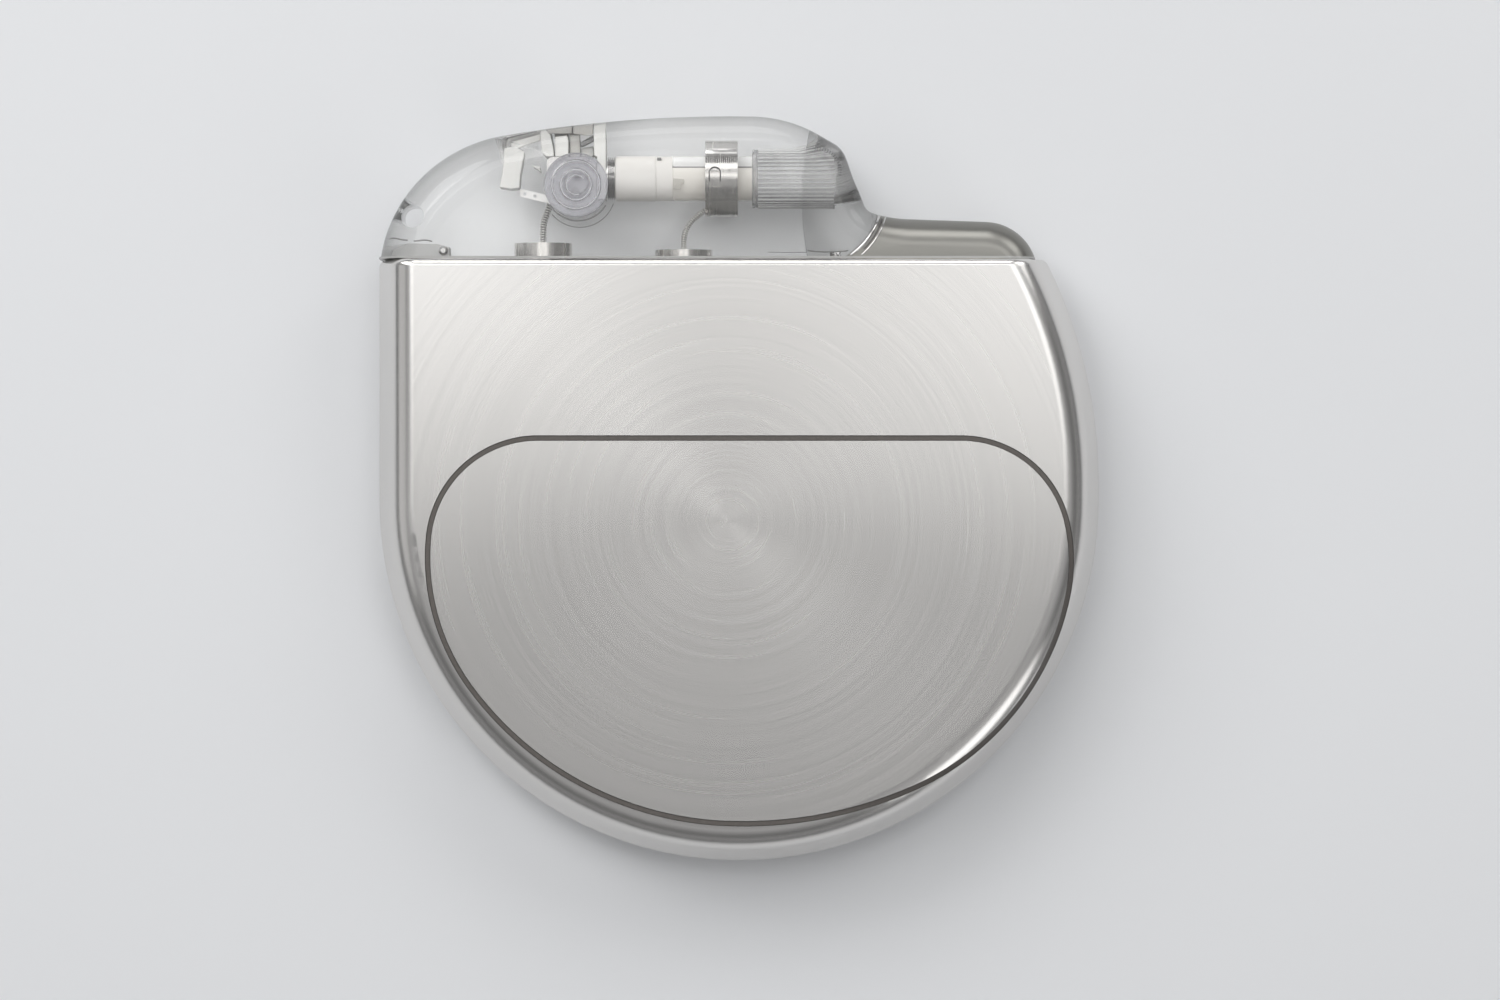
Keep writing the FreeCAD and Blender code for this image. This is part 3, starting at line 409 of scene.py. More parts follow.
def header_block(name):
    """The whole header outline as a solid with rounded edges, flat on its foot."""
    piece = outline_vertex(*crown_start, header_low)
    piece.name = name
    x, y = crown_start
    turn = crown_heading
    for radius, bend, count in ((88.0, -10.66, 24), (9.0, -29.15, 20)):
        x, y, turn = draw_arc(x, y, turn, radius, bend, count)
    x, y = draw_run(x, y, turn, 1.05)
    x, y, turn = draw_arc(x, y, turn, 1.85, -39.0, 14)
    x, y = draw_run(x, y, turn, 3.22)
    for radius, bend, count in ((0.9, 51.0, 10), (8.0, 16.0, 10)):
        x, y, turn = draw_arc(x, y, turn, radius, bend, count)
    x, y = draw_run(x, y, turn, (15.905 - x) / math.cos(math.radians(turn)))
    x, y, turn = draw_arc(x, y, turn, 3.4, -80.0, 20)
    bpy.ops.mesh.extrude_region_move(
        TRANSFORM_OT_translate={"value": (0, (header_ends - y) * mm, 0)})
    bpy.ops.object.mode_set(mode="OBJECT")
    corner = [c * mm for c in crown_start]
    pick(piece, "vertices", lambda v: math.dist(v.co[:2], corner) < 0.001 * mm)
    bpy.ops.object.mode_set(mode="EDIT")
    left_y = draw_arc(*crown_start, crown_heading + 180, 9.3, 86.0, 40)[1]
    bpy.ops.mesh.extrude_region_move(
        TRANSFORM_OT_translate={"value": (0, (header_ends - left_y) * mm, 0)})
    bpy.ops.mesh.select_all(action="SELECT")
    bpy.ops.mesh.remove_doubles(threshold=0.001 * mm)
    bpy.ops.mesh.edge_face_add()
    bpy.ops.mesh.extrude_region_move(
        TRANSFORM_OT_translate={"value": (0, 0, (header_high - header_low) * mm)})
    bpy.ops.mesh.select_all(action="SELECT")
    bpy.ops.mesh.normals_make_consistent(inside=False)
    bpy.ops.object.mode_set(mode="OBJECT")
    where = [v.co.copy() for v in piece.data.vertices]
    share = piece.data.attributes.new("bevel_weight_edge", "FLOAT", "EDGE")
    for edge in piece.data.edges:
        a, b = (where[v] for v in edge.vertices)
        if abs(a.z - b.z) < 0.01 * mm and (a.y + b.y) / 2 > (header_ends + 0.05) * mm:
            ease = min(max((ease_from - (a.x + b.x) / 2 / mm) / ease_run, 0.0), 1.0)
            ease = ease * ease * (3 - 2 * ease)
            share.data[edge.index].value = edge_share + (1 - edge_share) * ease
    modified(
        piece, "BEVEL", limit_method="WEIGHT", width=header_round * mm, segments=12,
        use_clamp_overlap=False)
    bpy.ops.object.mode_set(mode="EDIT")
    bpy.ops.mesh.select_mode(type="VERT")
    bpy.ops.mesh.select_all(action="SELECT")
    bpy.ops.mesh.bisect(
        plane_co=(0, header_foot * mm, 0), plane_no=(0, -1, 0), use_fill=True,
        clear_outer=True, threshold=0.0001 * mm)
    bpy.ops.mesh.select_all(action="SELECT")
    bpy.ops.mesh.normals_make_consistent(inside=False)
    bpy.ops.mesh.select_all(action="DESELECT")
    bpy.ops.object.mode_set(mode="OBJECT")
    return piece


def rod(x, y, z, radius, length, axis, sides=64):
    """A plain round rod from a point along X, Y or Z, to cut or to shape."""
    turn = {"X": (0, math.pi / 2, 0), "Y": (-math.pi / 2, 0, 0), "Z": (0, 0, 0)}[axis]
    half = length / 2
    middle = {"X": (x + half, y, z), "Y": (x, y + half, z), "Z": (x, y, z + half)}[axis]
    bpy.ops.object.select_all(action="DESELECT")
    bpy.ops.mesh.primitive_cylinder_add(
        vertices=sides, radius=radius * mm, depth=length * mm,
        location=[c * mm for c in middle], rotation=turn)
    piece = bpy.context.object
    bpy.ops.object.transform_apply(location=True, rotation=True, scale=True)
    return piece


def clear_cast(name, colour, roughness, index, veil=0.0, edge=1.0, gloss=0.5):
    """A clear casting with painted shade: greyer where it is seen edge on, standing in for darker
    surroundings seen through its rounded edges. Light passes it into its shadow.
    """
    finish, tree, skin, link, place = new_finish(
        name, Transmission_Weight=1.0 - veil, IOR=index, Specular_IOR_Level=gloss)
    flow = shader(tree, "TexNoise", Scale=160.0, Detail=2.0)
    paint = colour_mix(tree, A=shaded(colour, 0.985), B=shaded(colour, 1.01))
    # Painted shade: where the surface is seen edge on, its colour is taken down by the edge share.
    glance = shader(tree, "LayerWeight", Blend=0.42)
    painted_edge_shade = colour_mix(tree, B=shaded(colour, edge))
    rough = shader(tree, "MapRange", To_Min=roughness * 0.6, To_Max=roughness * 1.4)
    passing = shader(tree, "BsdfTransparent", Color=(*[c ** 0.5 for c in colour], 1))
    rays = shader(tree, "LightPath")
    swap = shader(tree, "MixShader")
    link(place, flow.inputs["Vector"])
    link(flow.outputs["Fac"], paint.inputs["Factor"])
    link(glance.outputs["Facing"], painted_edge_shade.inputs["Factor"])
    link(paint.outputs["Result"], painted_edge_shade.inputs["A"])
    link(painted_edge_shade.outputs["Result"], skin.inputs["Base Color"])
    link(flow.outputs["Fac"], rough.inputs["Value"])
    link(rough.outputs["Result"], skin.inputs["Roughness"])
    link(rays.outputs["Is Shadow Ray"], swap.inputs["Fac"])
    link(skin.outputs["BSDF"], swap.inputs[1])
    link(passing.outputs["BSDF"], swap.inputs[2])
    link(swap.outputs["Shader"], tree.nodes["Material Output"].inputs["Surface"])
    return finish


resin = clear_cast(
    "clear_resin", (0.965, 0.965, 0.96), 0.02, 1.34, veil=0.06, edge=0.2, gloss=0.35)
bore_y = 20.7
bore_z = 3.5
ring_bore = 1.375
entry_bore = 1.74
bore_line = (0.0, bore_y, bore_z)


def bore_cutter():
    """The stepped lead bore as one solid: ring zone, cone and wide entry."""
    tool = rod(-6.4, bore_y, bore_z, ring_bore, 7.24, "X", 96)
    pick(tool, "polygons", lambda face: face.normal.x > 0.99)
    bpy.ops.object.mode_set(mode="EDIT")
    bpy.ops.mesh.extrude_region_move(TRANSFORM_OT_translate={"value": (0.32 * mm, 0, 0)})
    widen = entry_bore / ring_bore
    bpy.ops.transform.resize(
        value=(1, widen, widen), center_override=[c * mm for c in bore_line])
    bpy.ops.mesh.extrude_region_move(TRANSFORM_OT_translate={"value": (12.0 * mm, 0, 0)})
    bpy.ops.mesh.select_mode(type="VERT")
    bpy.ops.object.mode_set(mode="OBJECT")
    return tool


parting_centre = (25.05, 19.4)
parting_radius = 21.0
tail_joint = (4.56, 19.5)
tail_joint_radius = 4.51
seam_gap = 0.02
plug_centre = (-10.4, 20.15)
suture_hole = (-20.9, 18.2)

header = header_block("header_casting")
carve(header, rod(*parting_centre, -1.0, parting_radius + seam_gap, 9.0, "Z", 720))
carve(header, bore_cutter())
carve(header, rod(*plug_centre, 6.05, 2.06, 2.0, "Z", 96))
carve(header, rod(*suture_hole, -1.0, 0.75, 9.0, "Z"))
smooth_off(header)
header.data.materials.append(resin)
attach(header, "device")
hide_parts("header_body")

# Port nose: the clear end of the header around the mouth of the lead bore, moulded apart and
# bonded along a curved parting face.


def box(size, middle, turn=(0, 0, 0)):
    """A box by its size, middle and turn, to cut with or to join."""
    bpy.ops.object.select_all(action="DESELECT")
    bpy.ops.mesh.primitive_cube_add(size=1.0, location=(0, 0, 0))
    piece = bpy.context.object
    piece.scale = [c * mm for c in size]
    piece.rotation_euler = turn
    piece.location = [c * mm for c in middle]
    bpy.ops.object.transform_apply(location=True, rotation=True, scale=True)
    return piece


nose = header_block("port_nose_moulding")
carve(nose, rod(*parting_centre, -1.0, parting_radius, 9.0, "Z", 720), "INTERSECT")
tail_room = box((20.0, 20.0, 9.0), (16.0, 9.0, 3.5))
carve(tail_room, rod(*tail_joint, -2.0, tail_joint_radius - seam_gap, 11.0, "Z", 360))
carve(nose, tail_room)
carve(nose, bore_cutter())
smooth_off(nose)
nose_resin = clear_cast(
    "nose_resin", (0.78, 0.78, 0.775), 0.03, 1.38, veil=0.06, edge=0.25, gloss=0.35)
nose.data.materials.append(nose_resin)
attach(nose, "device")
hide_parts("port_nose")

# Painted reflection: a row of short dark ribs in the nose, around the rounded end of the sleeve,
# standing in for the sleeve's flutes mirrored in the nose's curved face.
flute_reflection_grey = grained("flute_reflection_grey", (0.16, 0.16, 0.165), 0.3, grain=2500.0, vary=0.2)
rib_centre = (5.08, 21.1)
rib_reach = 1.33
rib_size = (0.26, 0.055, 0.12)
rib_height = 5.62
ribs = []
for turn in range(17):
    angle = math.radians(100 - 7 * turn)
    ribs.append(box(rib_size, (
        rib_centre[0] + rib_reach * math.cos(angle), rib_centre[1] + rib_reach * math.sin(angle),
        rib_height), (0, 0, angle)))


def gather(pieces, name, soften=0.0):
    """Joins pieces into one with its place in its mesh, and softens the edges."""
    bpy.ops.object.select_all(action="DESELECT")
    for piece in pieces:
        piece.select_set(True)
    bpy.context.view_layer.objects.active = pieces[0]
    bpy.ops.object.join()
    joined = bpy.context.object
    joined.name = name
    bpy.ops.object.transform_apply(location=True, rotation=True, scale=True)
    if soften:
        modified(
            joined, "BEVEL", width=soften * mm, segments=3, limit_method="ANGLE",
            angle_limit=math.radians(35))
    smooth_off(joined, 40)
    return joined


flute_reflection_ribs = gather(ribs, "flute_reflection_ribs", 0.012)
flute_reflection_ribs.data.materials.append(flute_reflection_grey)
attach(flute_reflection_ribs, "device")

# Tail: a solid titanium shoulder bonded beside the nose, softly blasted. Along the joint, two
# bright steel beads paint a highlight, and a dark bead in the hollow between them paints shade.
tail_titanium = grained(
    "tail_titanium", (0.29, 0.285, 0.265), 0.36, metallic=1.0, grain=700.0, vary=0.05, relief=0.03)
tail = fair_copy("tail_piece", "tail_shoulder")
tail.data.materials.append(tail_titanium)
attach(tail, "device")
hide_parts("tail_piece")


def swept(name, route, radius):
    """A round wire or bead along a drawn route."""
    only(route)
    route.name = name
    bpy.ops.object.convert(target="CURVE")
    line = bpy.context.object
    line.data.bevel_depth = radius * mm
    line.data.bevel_resolution = 3
    line.data.use_fill_caps = True
    bpy.ops.object.convert(target="MESH")
    wire = bpy.context.object
    smooth_off(wire, 50)
    return wire


def arc_route(centre, radius, start, bend, z, steps=40):
    """A drawn arc in a level plane, by its centre and the angle where it starts."""
    angle = math.radians(start)
    x, y = centre[0] + radius * math.cos(angle), centre[1] + radius * math.sin(angle)
    route = outline_vertex(x, y, z)
    draw_arc(x, y, start + (90 if bend > 0 else -90), radius, bend, steps)
    bpy.ops.object.mode_set(mode="OBJECT")
    return route


bright_steel = grained(
    "bright_steel", (0.66, 0.65, 0.64), 0.2, metallic=1.0, grain=2500.0, vary=0.05)
dark_steel = grained("dark_steel", (0.16, 0.155, 0.15), 0.4, metallic=0.8, grain=2500.0)
# Painted highlight: two bright beads laid along the joint of the tail.
lips = [swept("tail_lip_highlight", laid_on(arc_route(tail_joint, 4.60, -56, 40, 7), tail), 0.10),
        swept("tail_lip_highlight", laid_on(arc_route(tail_joint, 5.02, -49, 34, 7), tail), 0.05)]
tail_lip_highlight = gather(lips, "tail_lip_highlight")
tail_lip_highlight.data.materials.append(bright_steel)
# Painted shade: a dark bead in the hollow between the bright ones.
hollow_shade = swept("tail_hollow_shade", laid_on(arc_route(tail_joint, 4.83, -45, 27, 7), tail), 0.07)
hollow_shade.data.materials.append(dark_steel)
for part in (tail_lip_highlight, hollow_shade):
    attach(part, "device")

# Seal plug: a disc of bluish silicone in three steps, dished and pierced in its centre, seen
# through the clear rim of its seat.
silicone = clear_cast(
    "plug_silicone", (0.74, 0.74, 0.765), 0.06, 1.25, veil=0.22, edge=0.25, gloss=0.9)


def turned(name, section, centre, axis, steps=96):
    """A turned piece: half its section, as places along the axis and radii, spun right round."""
    def put(along, radius):
        return {"X": (along, 0, radius), "Y": (radius, along, 0), "Z": (radius, 0, along)}[axis]
    first = put(*section[0])
    piece = outline_vertex(centre[0] + first[0], centre[1] + first[1], centre[2] + first[2])
    piece.name = name
    for here, there in zip(section, section[1:]):
        step = [(b - a) * mm for a, b in zip(put(*here), put(*there))]
        bpy.ops.mesh.extrude_region_move(TRANSFORM_OT_translate={"value": step})
    bpy.ops.mesh.select_all(action="SELECT")
    around = {"X": (1, 0, 0), "Y": (0, 1, 0), "Z": (0, 0, 1)}[axis]
    bpy.ops.mesh.spin(steps=steps, angle=2 * math.pi, center=[c * mm for c in centre], axis=around)
    bpy.ops.mesh.select_all(action="SELECT")
    bpy.ops.mesh.remove_doubles(threshold=0.0005 * mm)
    bpy.ops.mesh.normals_make_consistent(inside=False)
    bpy.ops.object.mode_set(mode="OBJECT")
    smooth_off(piece, 24)
    return piece


plug = turned("seal_disc", (
    (6.32, 0.0), (6.36, 0.12), (6.62, 0.72), (6.74, 0.86), (6.76, 0.95), (6.70, 0.99),
    (6.70, 1.02), (6.79, 1.08), (6.80, 1.44), (6.74, 1.50), (6.68, 1.53), (6.68, 1.57),
    (6.82, 1.63), (6.84, 1.96), (6.80, 2.04), (6.74, 2.055), (6.10, 2.055), (6.06, 2.0),
    (6.06, 1.0), (6.06, 0.0)), (*plug_centre, 0.0), "Z")
plug.data.materials.append(silicone)
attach(plug, "device")
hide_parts("seal_plug")
# Painted lines along the plug's grooves and dish, light grey: they stand in for the light and shade
# of its steps.
ring_shade = grained("ring_shade", (0.72, 0.72, 0.74), 0.25, grain=1500.0, vary=0.1)
plug_rings = gather([
    swept("plug_ring", arc_route(plug_centre, 0.97, 0, 360, 6.73, 64), 0.035),
    swept("plug_ring", arc_route(plug_centre, 1.53, 0, 360, 6.72, 80), 0.04),
    swept("plug_ring", arc_route(plug_centre, 0.62, 40, 250, 6.60, 40), 0.025)], "plug_rings")
plug_rings.data.materials.append(ring_shade)
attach(plug_rings, "device")
seat_shade = grained("seat_shade", (0.22, 0.22, 0.215), 0.4, grain=1500.0, vary=0.2)
# Painted shadow: two dark crescents in the resin along the lower edge of the plug.
crescents = [swept("plug_edge_shadow", arc_route((-10.3, 20.0), 2.1, -150, 118, 5.85, 60), 0.05),
             swept("plug_edge_shadow", arc_route((-10.2, 19.8), 2.3, -140, 120, 5.3, 60), 0.03)]
plug_edge_shadow = gather(crescents, "plug_edge_shadow")
plug_edge_shadow.data.materials.append(seat_shade)
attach(plug_edge_shadow, "device")

# Set screw and tip block: turned and milled stainless steel. The short rippled neck of the
# block enters the spacer.
screw = fair_copy("set_screw", "hexagon_screw")
screw.data.materials.append(bright_steel)
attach(screw, "screw")
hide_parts("set_screw")
block = fair_copy("tip_block", "tip_terminal_block")
block.data.materials.append(bright_steel)
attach(block, "device")
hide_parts("tip_block")
neck_start = -8.46
neck_end = -7.94
neck_bore = 0.98
neck_section = [(neck_start, neck_bore), (neck_start, 1.1)]
for ridge in range(4):
    left = neck_start + 0.13 * ridge
    neck_section += [(left + 0.03, 1.38), (left + 0.08, 1.38), (left + 0.115, 1.16)]
neck_section += [(neck_end, neck_bore), (neck_start, neck_bore)]
neck = turned("rippled_neck", neck_section, bore_line, "X", 72)
neck.data.materials.append(bright_steel)
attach(neck, "device")

# Block carrier: moulded white polymer that holds the block in the mould: a roof, three walls,
# a window filled by a dark slab of painted shade, a leaning post and a bar of bright wire.


def milky(name, colour, painted_edge_shade, roughness=0.25, through=0.2, coat=0.0):
    """A milky moulding with painted shade: darker outlines where it is seen edge on."""
    finish, tree, skin, link, place = new_finish(
        name, Transmission_Weight=through, IOR=1.3, Roughness=roughness, Coat_Weight=coat)
    cloud = shader(tree, "TexNoise", Scale=700.0)
    paint = colour_mix(tree, A=shaded(colour, 0.96), B=shaded(colour))
    # Painted shade: where the surface is seen edge on, it turns to the darker edge colour.
    glance = shader(tree, "LayerWeight", Blend=0.3)
    turn = colour_mix(tree, B=shaded(painted_edge_shade))
    bump = shader(tree, "Bump", Strength=0.05, Distance=0.02 * mm)
    link(place, cloud.inputs["Vector"])
    link(cloud.outputs["Fac"], paint.inputs["Factor"])
    link(paint.outputs["Result"], turn.inputs["A"])
    link(glance.outputs["Facing"], turn.inputs["Factor"])
    link(turn.outputs["Result"], skin.inputs["Base Color"])
    link(cloud.outputs["Fac"], bump.inputs["Height"])
    link(bump.outputs["Normal"], skin.inputs["Normal"])
    return finish


def slab(outline, low, high):
    """A flat plate, its outline drawn point by point and raised."""
    piece = outline_vertex(outline[0][0], outline[0][1], low)
    for here, there in zip(outline, outline[1:]):
        bpy.ops.mesh.extrude_region_move(TRANSFORM_OT_translate={
            "value": ((there[0] - here[0]) * mm, (there[1] - here[1]) * mm, 0)})
    bpy.ops.mesh.select_all(action="SELECT")
    bpy.ops.mesh.edge_face_add()
    bpy.ops.mesh.extrude_region_move(TRANSFORM_OT_translate={"value": (0, 0, (high - low) * mm)})
    bpy.ops.mesh.select_all(action="SELECT")
    bpy.ops.mesh.normals_make_consistent(inside=False)
    bpy.ops.object.mode_set(mode="OBJECT")
    return piece


white_polymer = milky("white_polymer", (0.90, 0.895, 0.87), (0.42, 0.41, 0.39))
beige_polymer = milky("beige_polymer", (0.70, 0.685, 0.65), (0.33, 0.32, 0.30), through=0.4)
walls = gather([
    slab(((-12.72, 23.55), (-12.35, 23.62), (-12.05, 23.2), (-11.9, 22.6), (-11.85, 22.05),
          (-12.35, 22.02), (-12.62, 22.3), (-12.7, 22.9)), 1.9, 5.2),
    slab(((-11.78, 23.1), (-11.0, 23.2), (-10.9, 22.9), (-10.95, 22.05), (-11.8, 22.05)), 1.9, 5.0),
    slab(((-9.3, 23.85), (-8.52, 23.98), (-8.52, 19.32), (-9.1, 19.32), (-9.1, 22.05),
          (-9.3, 22.1)), 1.9, 5.15),
    slab(((-14.95, 22.45), (-14.3, 22.55), (-13.72, 22.3), (-13.88, 21.6), (-14.02, 20.9),
          (-14.08, 20.05), (-14.62, 19.98), (-15.36, 20.08), (-15.2, 20.9),
          (-15.05, 21.7)), 2.2, 4.9),
    slab(((-14.55, 22.72), (-12.7, 23.18), (-12.7, 22.85), (-14.45, 22.38)), 2.4, 4.7),
    slab(((-13.25, 21.5), (-12.75, 21.42), (-12.7, 21.05), (-12.88, 21.2),
          (-13.2, 21.38)), 3.2, 4.9),
    slab(((-10.1, 22.6), (-9.34, 22.72), (-9.34, 22.1), (-10.1, 22.1)), 2.0, 4.3),
], "carrier_walls", 0.11)
walls.data.materials.append(white_polymer)
roof = gather([
    slab(((-12.3, 23.28), (-12.25, 23.62), (-10.68, 23.84), (-10.68, 23.3)), 1.9, 5.1),
    slab(((-10.62, 23.3), (-10.62, 23.84), (-9.34, 24.0), (-9.34, 23.25), (-9.7, 23.2)), 1.9, 5.1),
    slab(((-10.86, 23.22), (-10.18, 23.25), (-10.18, 22.05), (-10.86, 22.05)), 1.9, 4.7),
], "carrier_roof", 0.09)
roof.data.materials.append(beige_polymer)
# Painted shade: a dark slab fills the window of the carrier.
window_shade = gather([slab(((-10.14, 22.86), (-9.33, 23.1), (-9.33, 22.92), (-10.14, 22.68)), 3.0, 4.9)],
                "carrier_window_shade", 0.02)
window_shade.data.materials.append(seat_shade)
route = outline_vertex(-14.92, 22.3, 4.72)
x, y = draw_run(-14.92, 22.3, 92, 0.42)
x, y, turn = draw_arc(x, y, 92, 0.34, -78, 10)
draw_run(x, y, turn, 1.75)
bpy.ops.object.mode_set(mode="OBJECT")
clip = swept("carrier_clip", route, 0.16)
clip.data.materials.append(bright_steel)
for part in (walls, roof, window_shade, clip):
    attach(part, "device")
    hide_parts("block_carrier")

# Strap: a thin bright ribbon with two holes, stamped from sheet and welded to the block, where
# it leads the tip wire.
strap = fair_copy("tip_strap", "weld_strap")
strap.data.materials.append(grained(
    "strap_silver", (0.84, 0.835, 0.82), 0.3, metallic=0.35, grain=2500.0, vary=0.05))
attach(strap, "device")
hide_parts("tip_strap")

# Spacer: a turned white insulating tube between the block and the ring zone, with a narrow
# groove near its right end, darkened by a slab of painted shade.
spacer_white = milky("spacer_white", (0.82, 0.80, 0.77), (0.70, 0.68, 0.64), 0.35, 0.0)
spacer = turned("insulating_spacer", (
    (-7.94, 0.95), (-7.94, 1.36), (-7.88, 1.45), (-5.37, 1.45), (-5.33, 1.42), (-5.33, 1.36),
    (-5.27, 1.36), (-5.27, 1.41), (-5.22, 1.43), (-4.28, 1.43), (-4.26, 1.41), (-4.26, 1.385),
    (-6.4, 1.385), (-6.4, 0.95), (-7.94, 0.95)), bore_line, "X")
spacer.data.materials.append(spacer_white)
# Painted shade: a small dark slab in the groove of the spacer.
spacer_groove_shade = gather([
    slab(((-5.26, 21.83), (-4.98, 21.83), (-4.98, 22.02), (-5.26, 22.02)), 4.0, 4.45),
], "spacer_groove_shade", 0.02)
spacer_groove_shade.data.materials.append(seat_shade)
for part in (spacer, spacer_groove_shade):
    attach(part, "device")
    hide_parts("spacer")

# Liner tubes: cream clear tubing on both sides of the ring contact, cut to length, with a
# painted highlight, a silvery strip along the top over a painted dark line, and a small stepped
# mark.
tubing = milky("liner_tubing", (0.86, 0.83, 0.775), (0.70, 0.67, 0.62), 0.15, 0.1, coat=0.8)
tubes = gather([
    turned("liner_tube", ((-4.26, 1.385), (-4.26, 1.42), (-4.22, 1.45), (-2.16, 1.45),
                          (-2.16, 1.385), (-4.26, 1.385)), bore_line, "X"),
    turned("liner_tube", ((-0.08, 1.385), (-0.08, 1.45), (0.84, 1.45), (0.84, 1.385),
                          (-0.08, 1.385)), bore_line, "X")], "liner_tubes")
tubes.data.materials.append(tubing)
tubes.data.materials.append(grained(
    "tube_top_highlight", (0.84, 0.84, 0.83), 0.2, metallic=0.25, grain=2500.0, vary=0.04))
tubes.data.materials.append(dark_steel)
# Painted highlight and shade: faces along the top of the tubes take the silvery finish, and a
# narrow row under them dark steel.
for face in tubes.data.polygons:
    height = face.center.y / mm
    if face.center.z > 3.5 * mm and 21.36 < height < 22.08:
        face.material_index = 1 if height > 21.46 else 2
tube_mark_cream = milky("tube_mark_cream", (0.50, 0.48, 0.44), (0.4, 0.38, 0.34), 0.3, 0.0)
tube_mark = gather([
    slab(((-4.2, 20.66), (-3.5, 20.6), (-3.5, 20.28), (-3.72, 20.26), (-3.72, 19.95),
          (-4.2, 19.95)), 4.9, 4.96),
], "tube_mark", 0.01)
tube_mark.data.materials.append(tube_mark_cream)
for part in (tubes, tube_mark):
    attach(part, "device")
    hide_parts("connector_tubes")

# Ring contact with its canted spring: a turned steel ring with a knurled row and a stamped
# arch, and a coil of fine wire bent round in the groove inside it.


def lathe_marked(name, colour, roughness, axis=(9000.0, 300.0, 300.0), relief=0.25):
    """Metal with the fine marks of turning, which run around one axis."""
    finish, tree, skin, link, place = new_finish(name, Metallic=1.0)
    stretch = shader(tree, "Mapping", Scale=axis)
    marks = shader(tree, "TexNoise", Scale=1.0, Detail=3.0)
    paint = colour_mix(tree, A=shaded(colour, 0.86), B=shaded(colour, 1.12))
    rough = shader(tree, "MapRange", To_Min=roughness - 0.05, To_Max=roughness + 0.08)
    bump = shader(tree, "Bump", Strength=relief, Distance=0.01 * mm)
    link(place, stretch.inputs["Vector"])
    link(stretch.outputs["Vector"], marks.inputs["Vector"])
    link(marks.outputs["Fac"], paint.inputs["Factor"])
    link(paint.outputs["Result"], skin.inputs["Base Color"])
    link(marks.outputs["Fac"], rough.inputs["Value"])
    link(rough.outputs["Result"], skin.inputs["Roughness"])
    link(marks.outputs["Fac"], bump.inputs["Height"])
    link(bump.outputs["Normal"], skin.inputs["Normal"])
    return finish


ring_steel = lathe_marked("ring_steel", (0.70, 0.685, 0.66), 0.24)
ring = fair_copy("ring_contact", "ring_terminal")
ring.data.materials.append(ring_steel)
knurl = box((0.065, 0.46, 0.08), (-2.06, 21.83, 5.67), (-math.radians(27), 0, 0))
modified(
    knurl, "ARRAY", count=15, use_relative_offset=False, use_constant_offset=True,
    constant_offset_displace=(0.134 * mm, 0, 0))
ring_knurl = gather([knurl], "ring_knurl", 0.008)
ring_knurl.data.materials.append(dark_steel)
ring_middle = -1.12
land = box((2.06, 0.40, 0.30), (ring_middle, 22.33, 5.24), (-math.radians(9), 0, 0))
ring_land = gather([land], "ring_land", 0.03)
ring_land.data.materials.append(bright_steel)
route = outline_vertex(-1.9, 20.42, 5.92)
x, y = draw_run(-1.9, 20.42, 90, 0.55)
x, y, turn = draw_arc(x, y, 90, 0.36, -180, 20)
draw_run(x, y, turn, 0.55)
bpy.ops.object.mode_set(mode="OBJECT")
ring_arch = swept("ring_arch", route, 0.045)
ring_arch.data.materials.append(dark_steel)
for part in (ring, ring_knurl, ring_arch, ring_land):
    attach(part, "device")
    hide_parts("ring_contact")


def coiled(name, route, reach, wire, pitch, steps=14):
    """A close coil of fine wire laid along a drawn route."""
    ends = [(route.data.vertices[a].co, route.data.vertices[b].co)
            for a, b in (edge.vertices for edge in route.data.edges)]
    length = sum((b - a).length for a, b in ends)
    turns = round(length / (pitch * mm))
    bpy.ops.object.select_all(action="DESELECT")
    bpy.ops.mesh.primitive_circle_add(
        vertices=8, radius=wire * mm, location=(reach * mm, 0, 0), rotation=(math.pi / 2, 0, 0))
    coil = bpy.context.object
    coil.name = name
    bpy.ops.object.transform_apply(location=True, rotation=True, scale=True)
    modified(
        coil, "SCREW", screw_offset=length / turns, iterations=turns, steps=steps,
        render_steps=steps)
    only(route)
    bpy.ops.object.convert(target="CURVE")
    line = bpy.context.object
    only(coil)
    modified(coil, "CURVE", object=line, deform_axis="POS_Z")
    bpy.data.objects.remove(line)
    bpy.ops.object.mode_set(mode="EDIT")
    bpy.ops.mesh.select_all(action="SELECT")
    bpy.ops.mesh.fill_holes(sides=10)
    bpy.ops.mesh.select_all(action="SELECT")
    bpy.ops.mesh.normals_make_consistent(inside=False)
    bpy.ops.object.mode_set(mode="OBJECT")
    smooth_off(coil, 60)
    return coil


spring_radius = 1.76
bpy.ops.object.select_all(action="DESELECT")
bpy.ops.mesh.primitive_circle_add(
    vertices=96, radius=spring_radius * mm, rotation=(0, math.pi / 2, 0),
    location=(ring_middle * mm, bore_y * mm, bore_z * mm))
circle = bpy.context.object
bpy.ops.object.transform_apply(location=True, rotation=True, scale=True)
spring = coiled("canted_spring", circle, 0.27, 0.05, 0.26, 12)
spring.data.materials.append(bright_steel)
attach(spring, "device")
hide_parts("ring_spring")

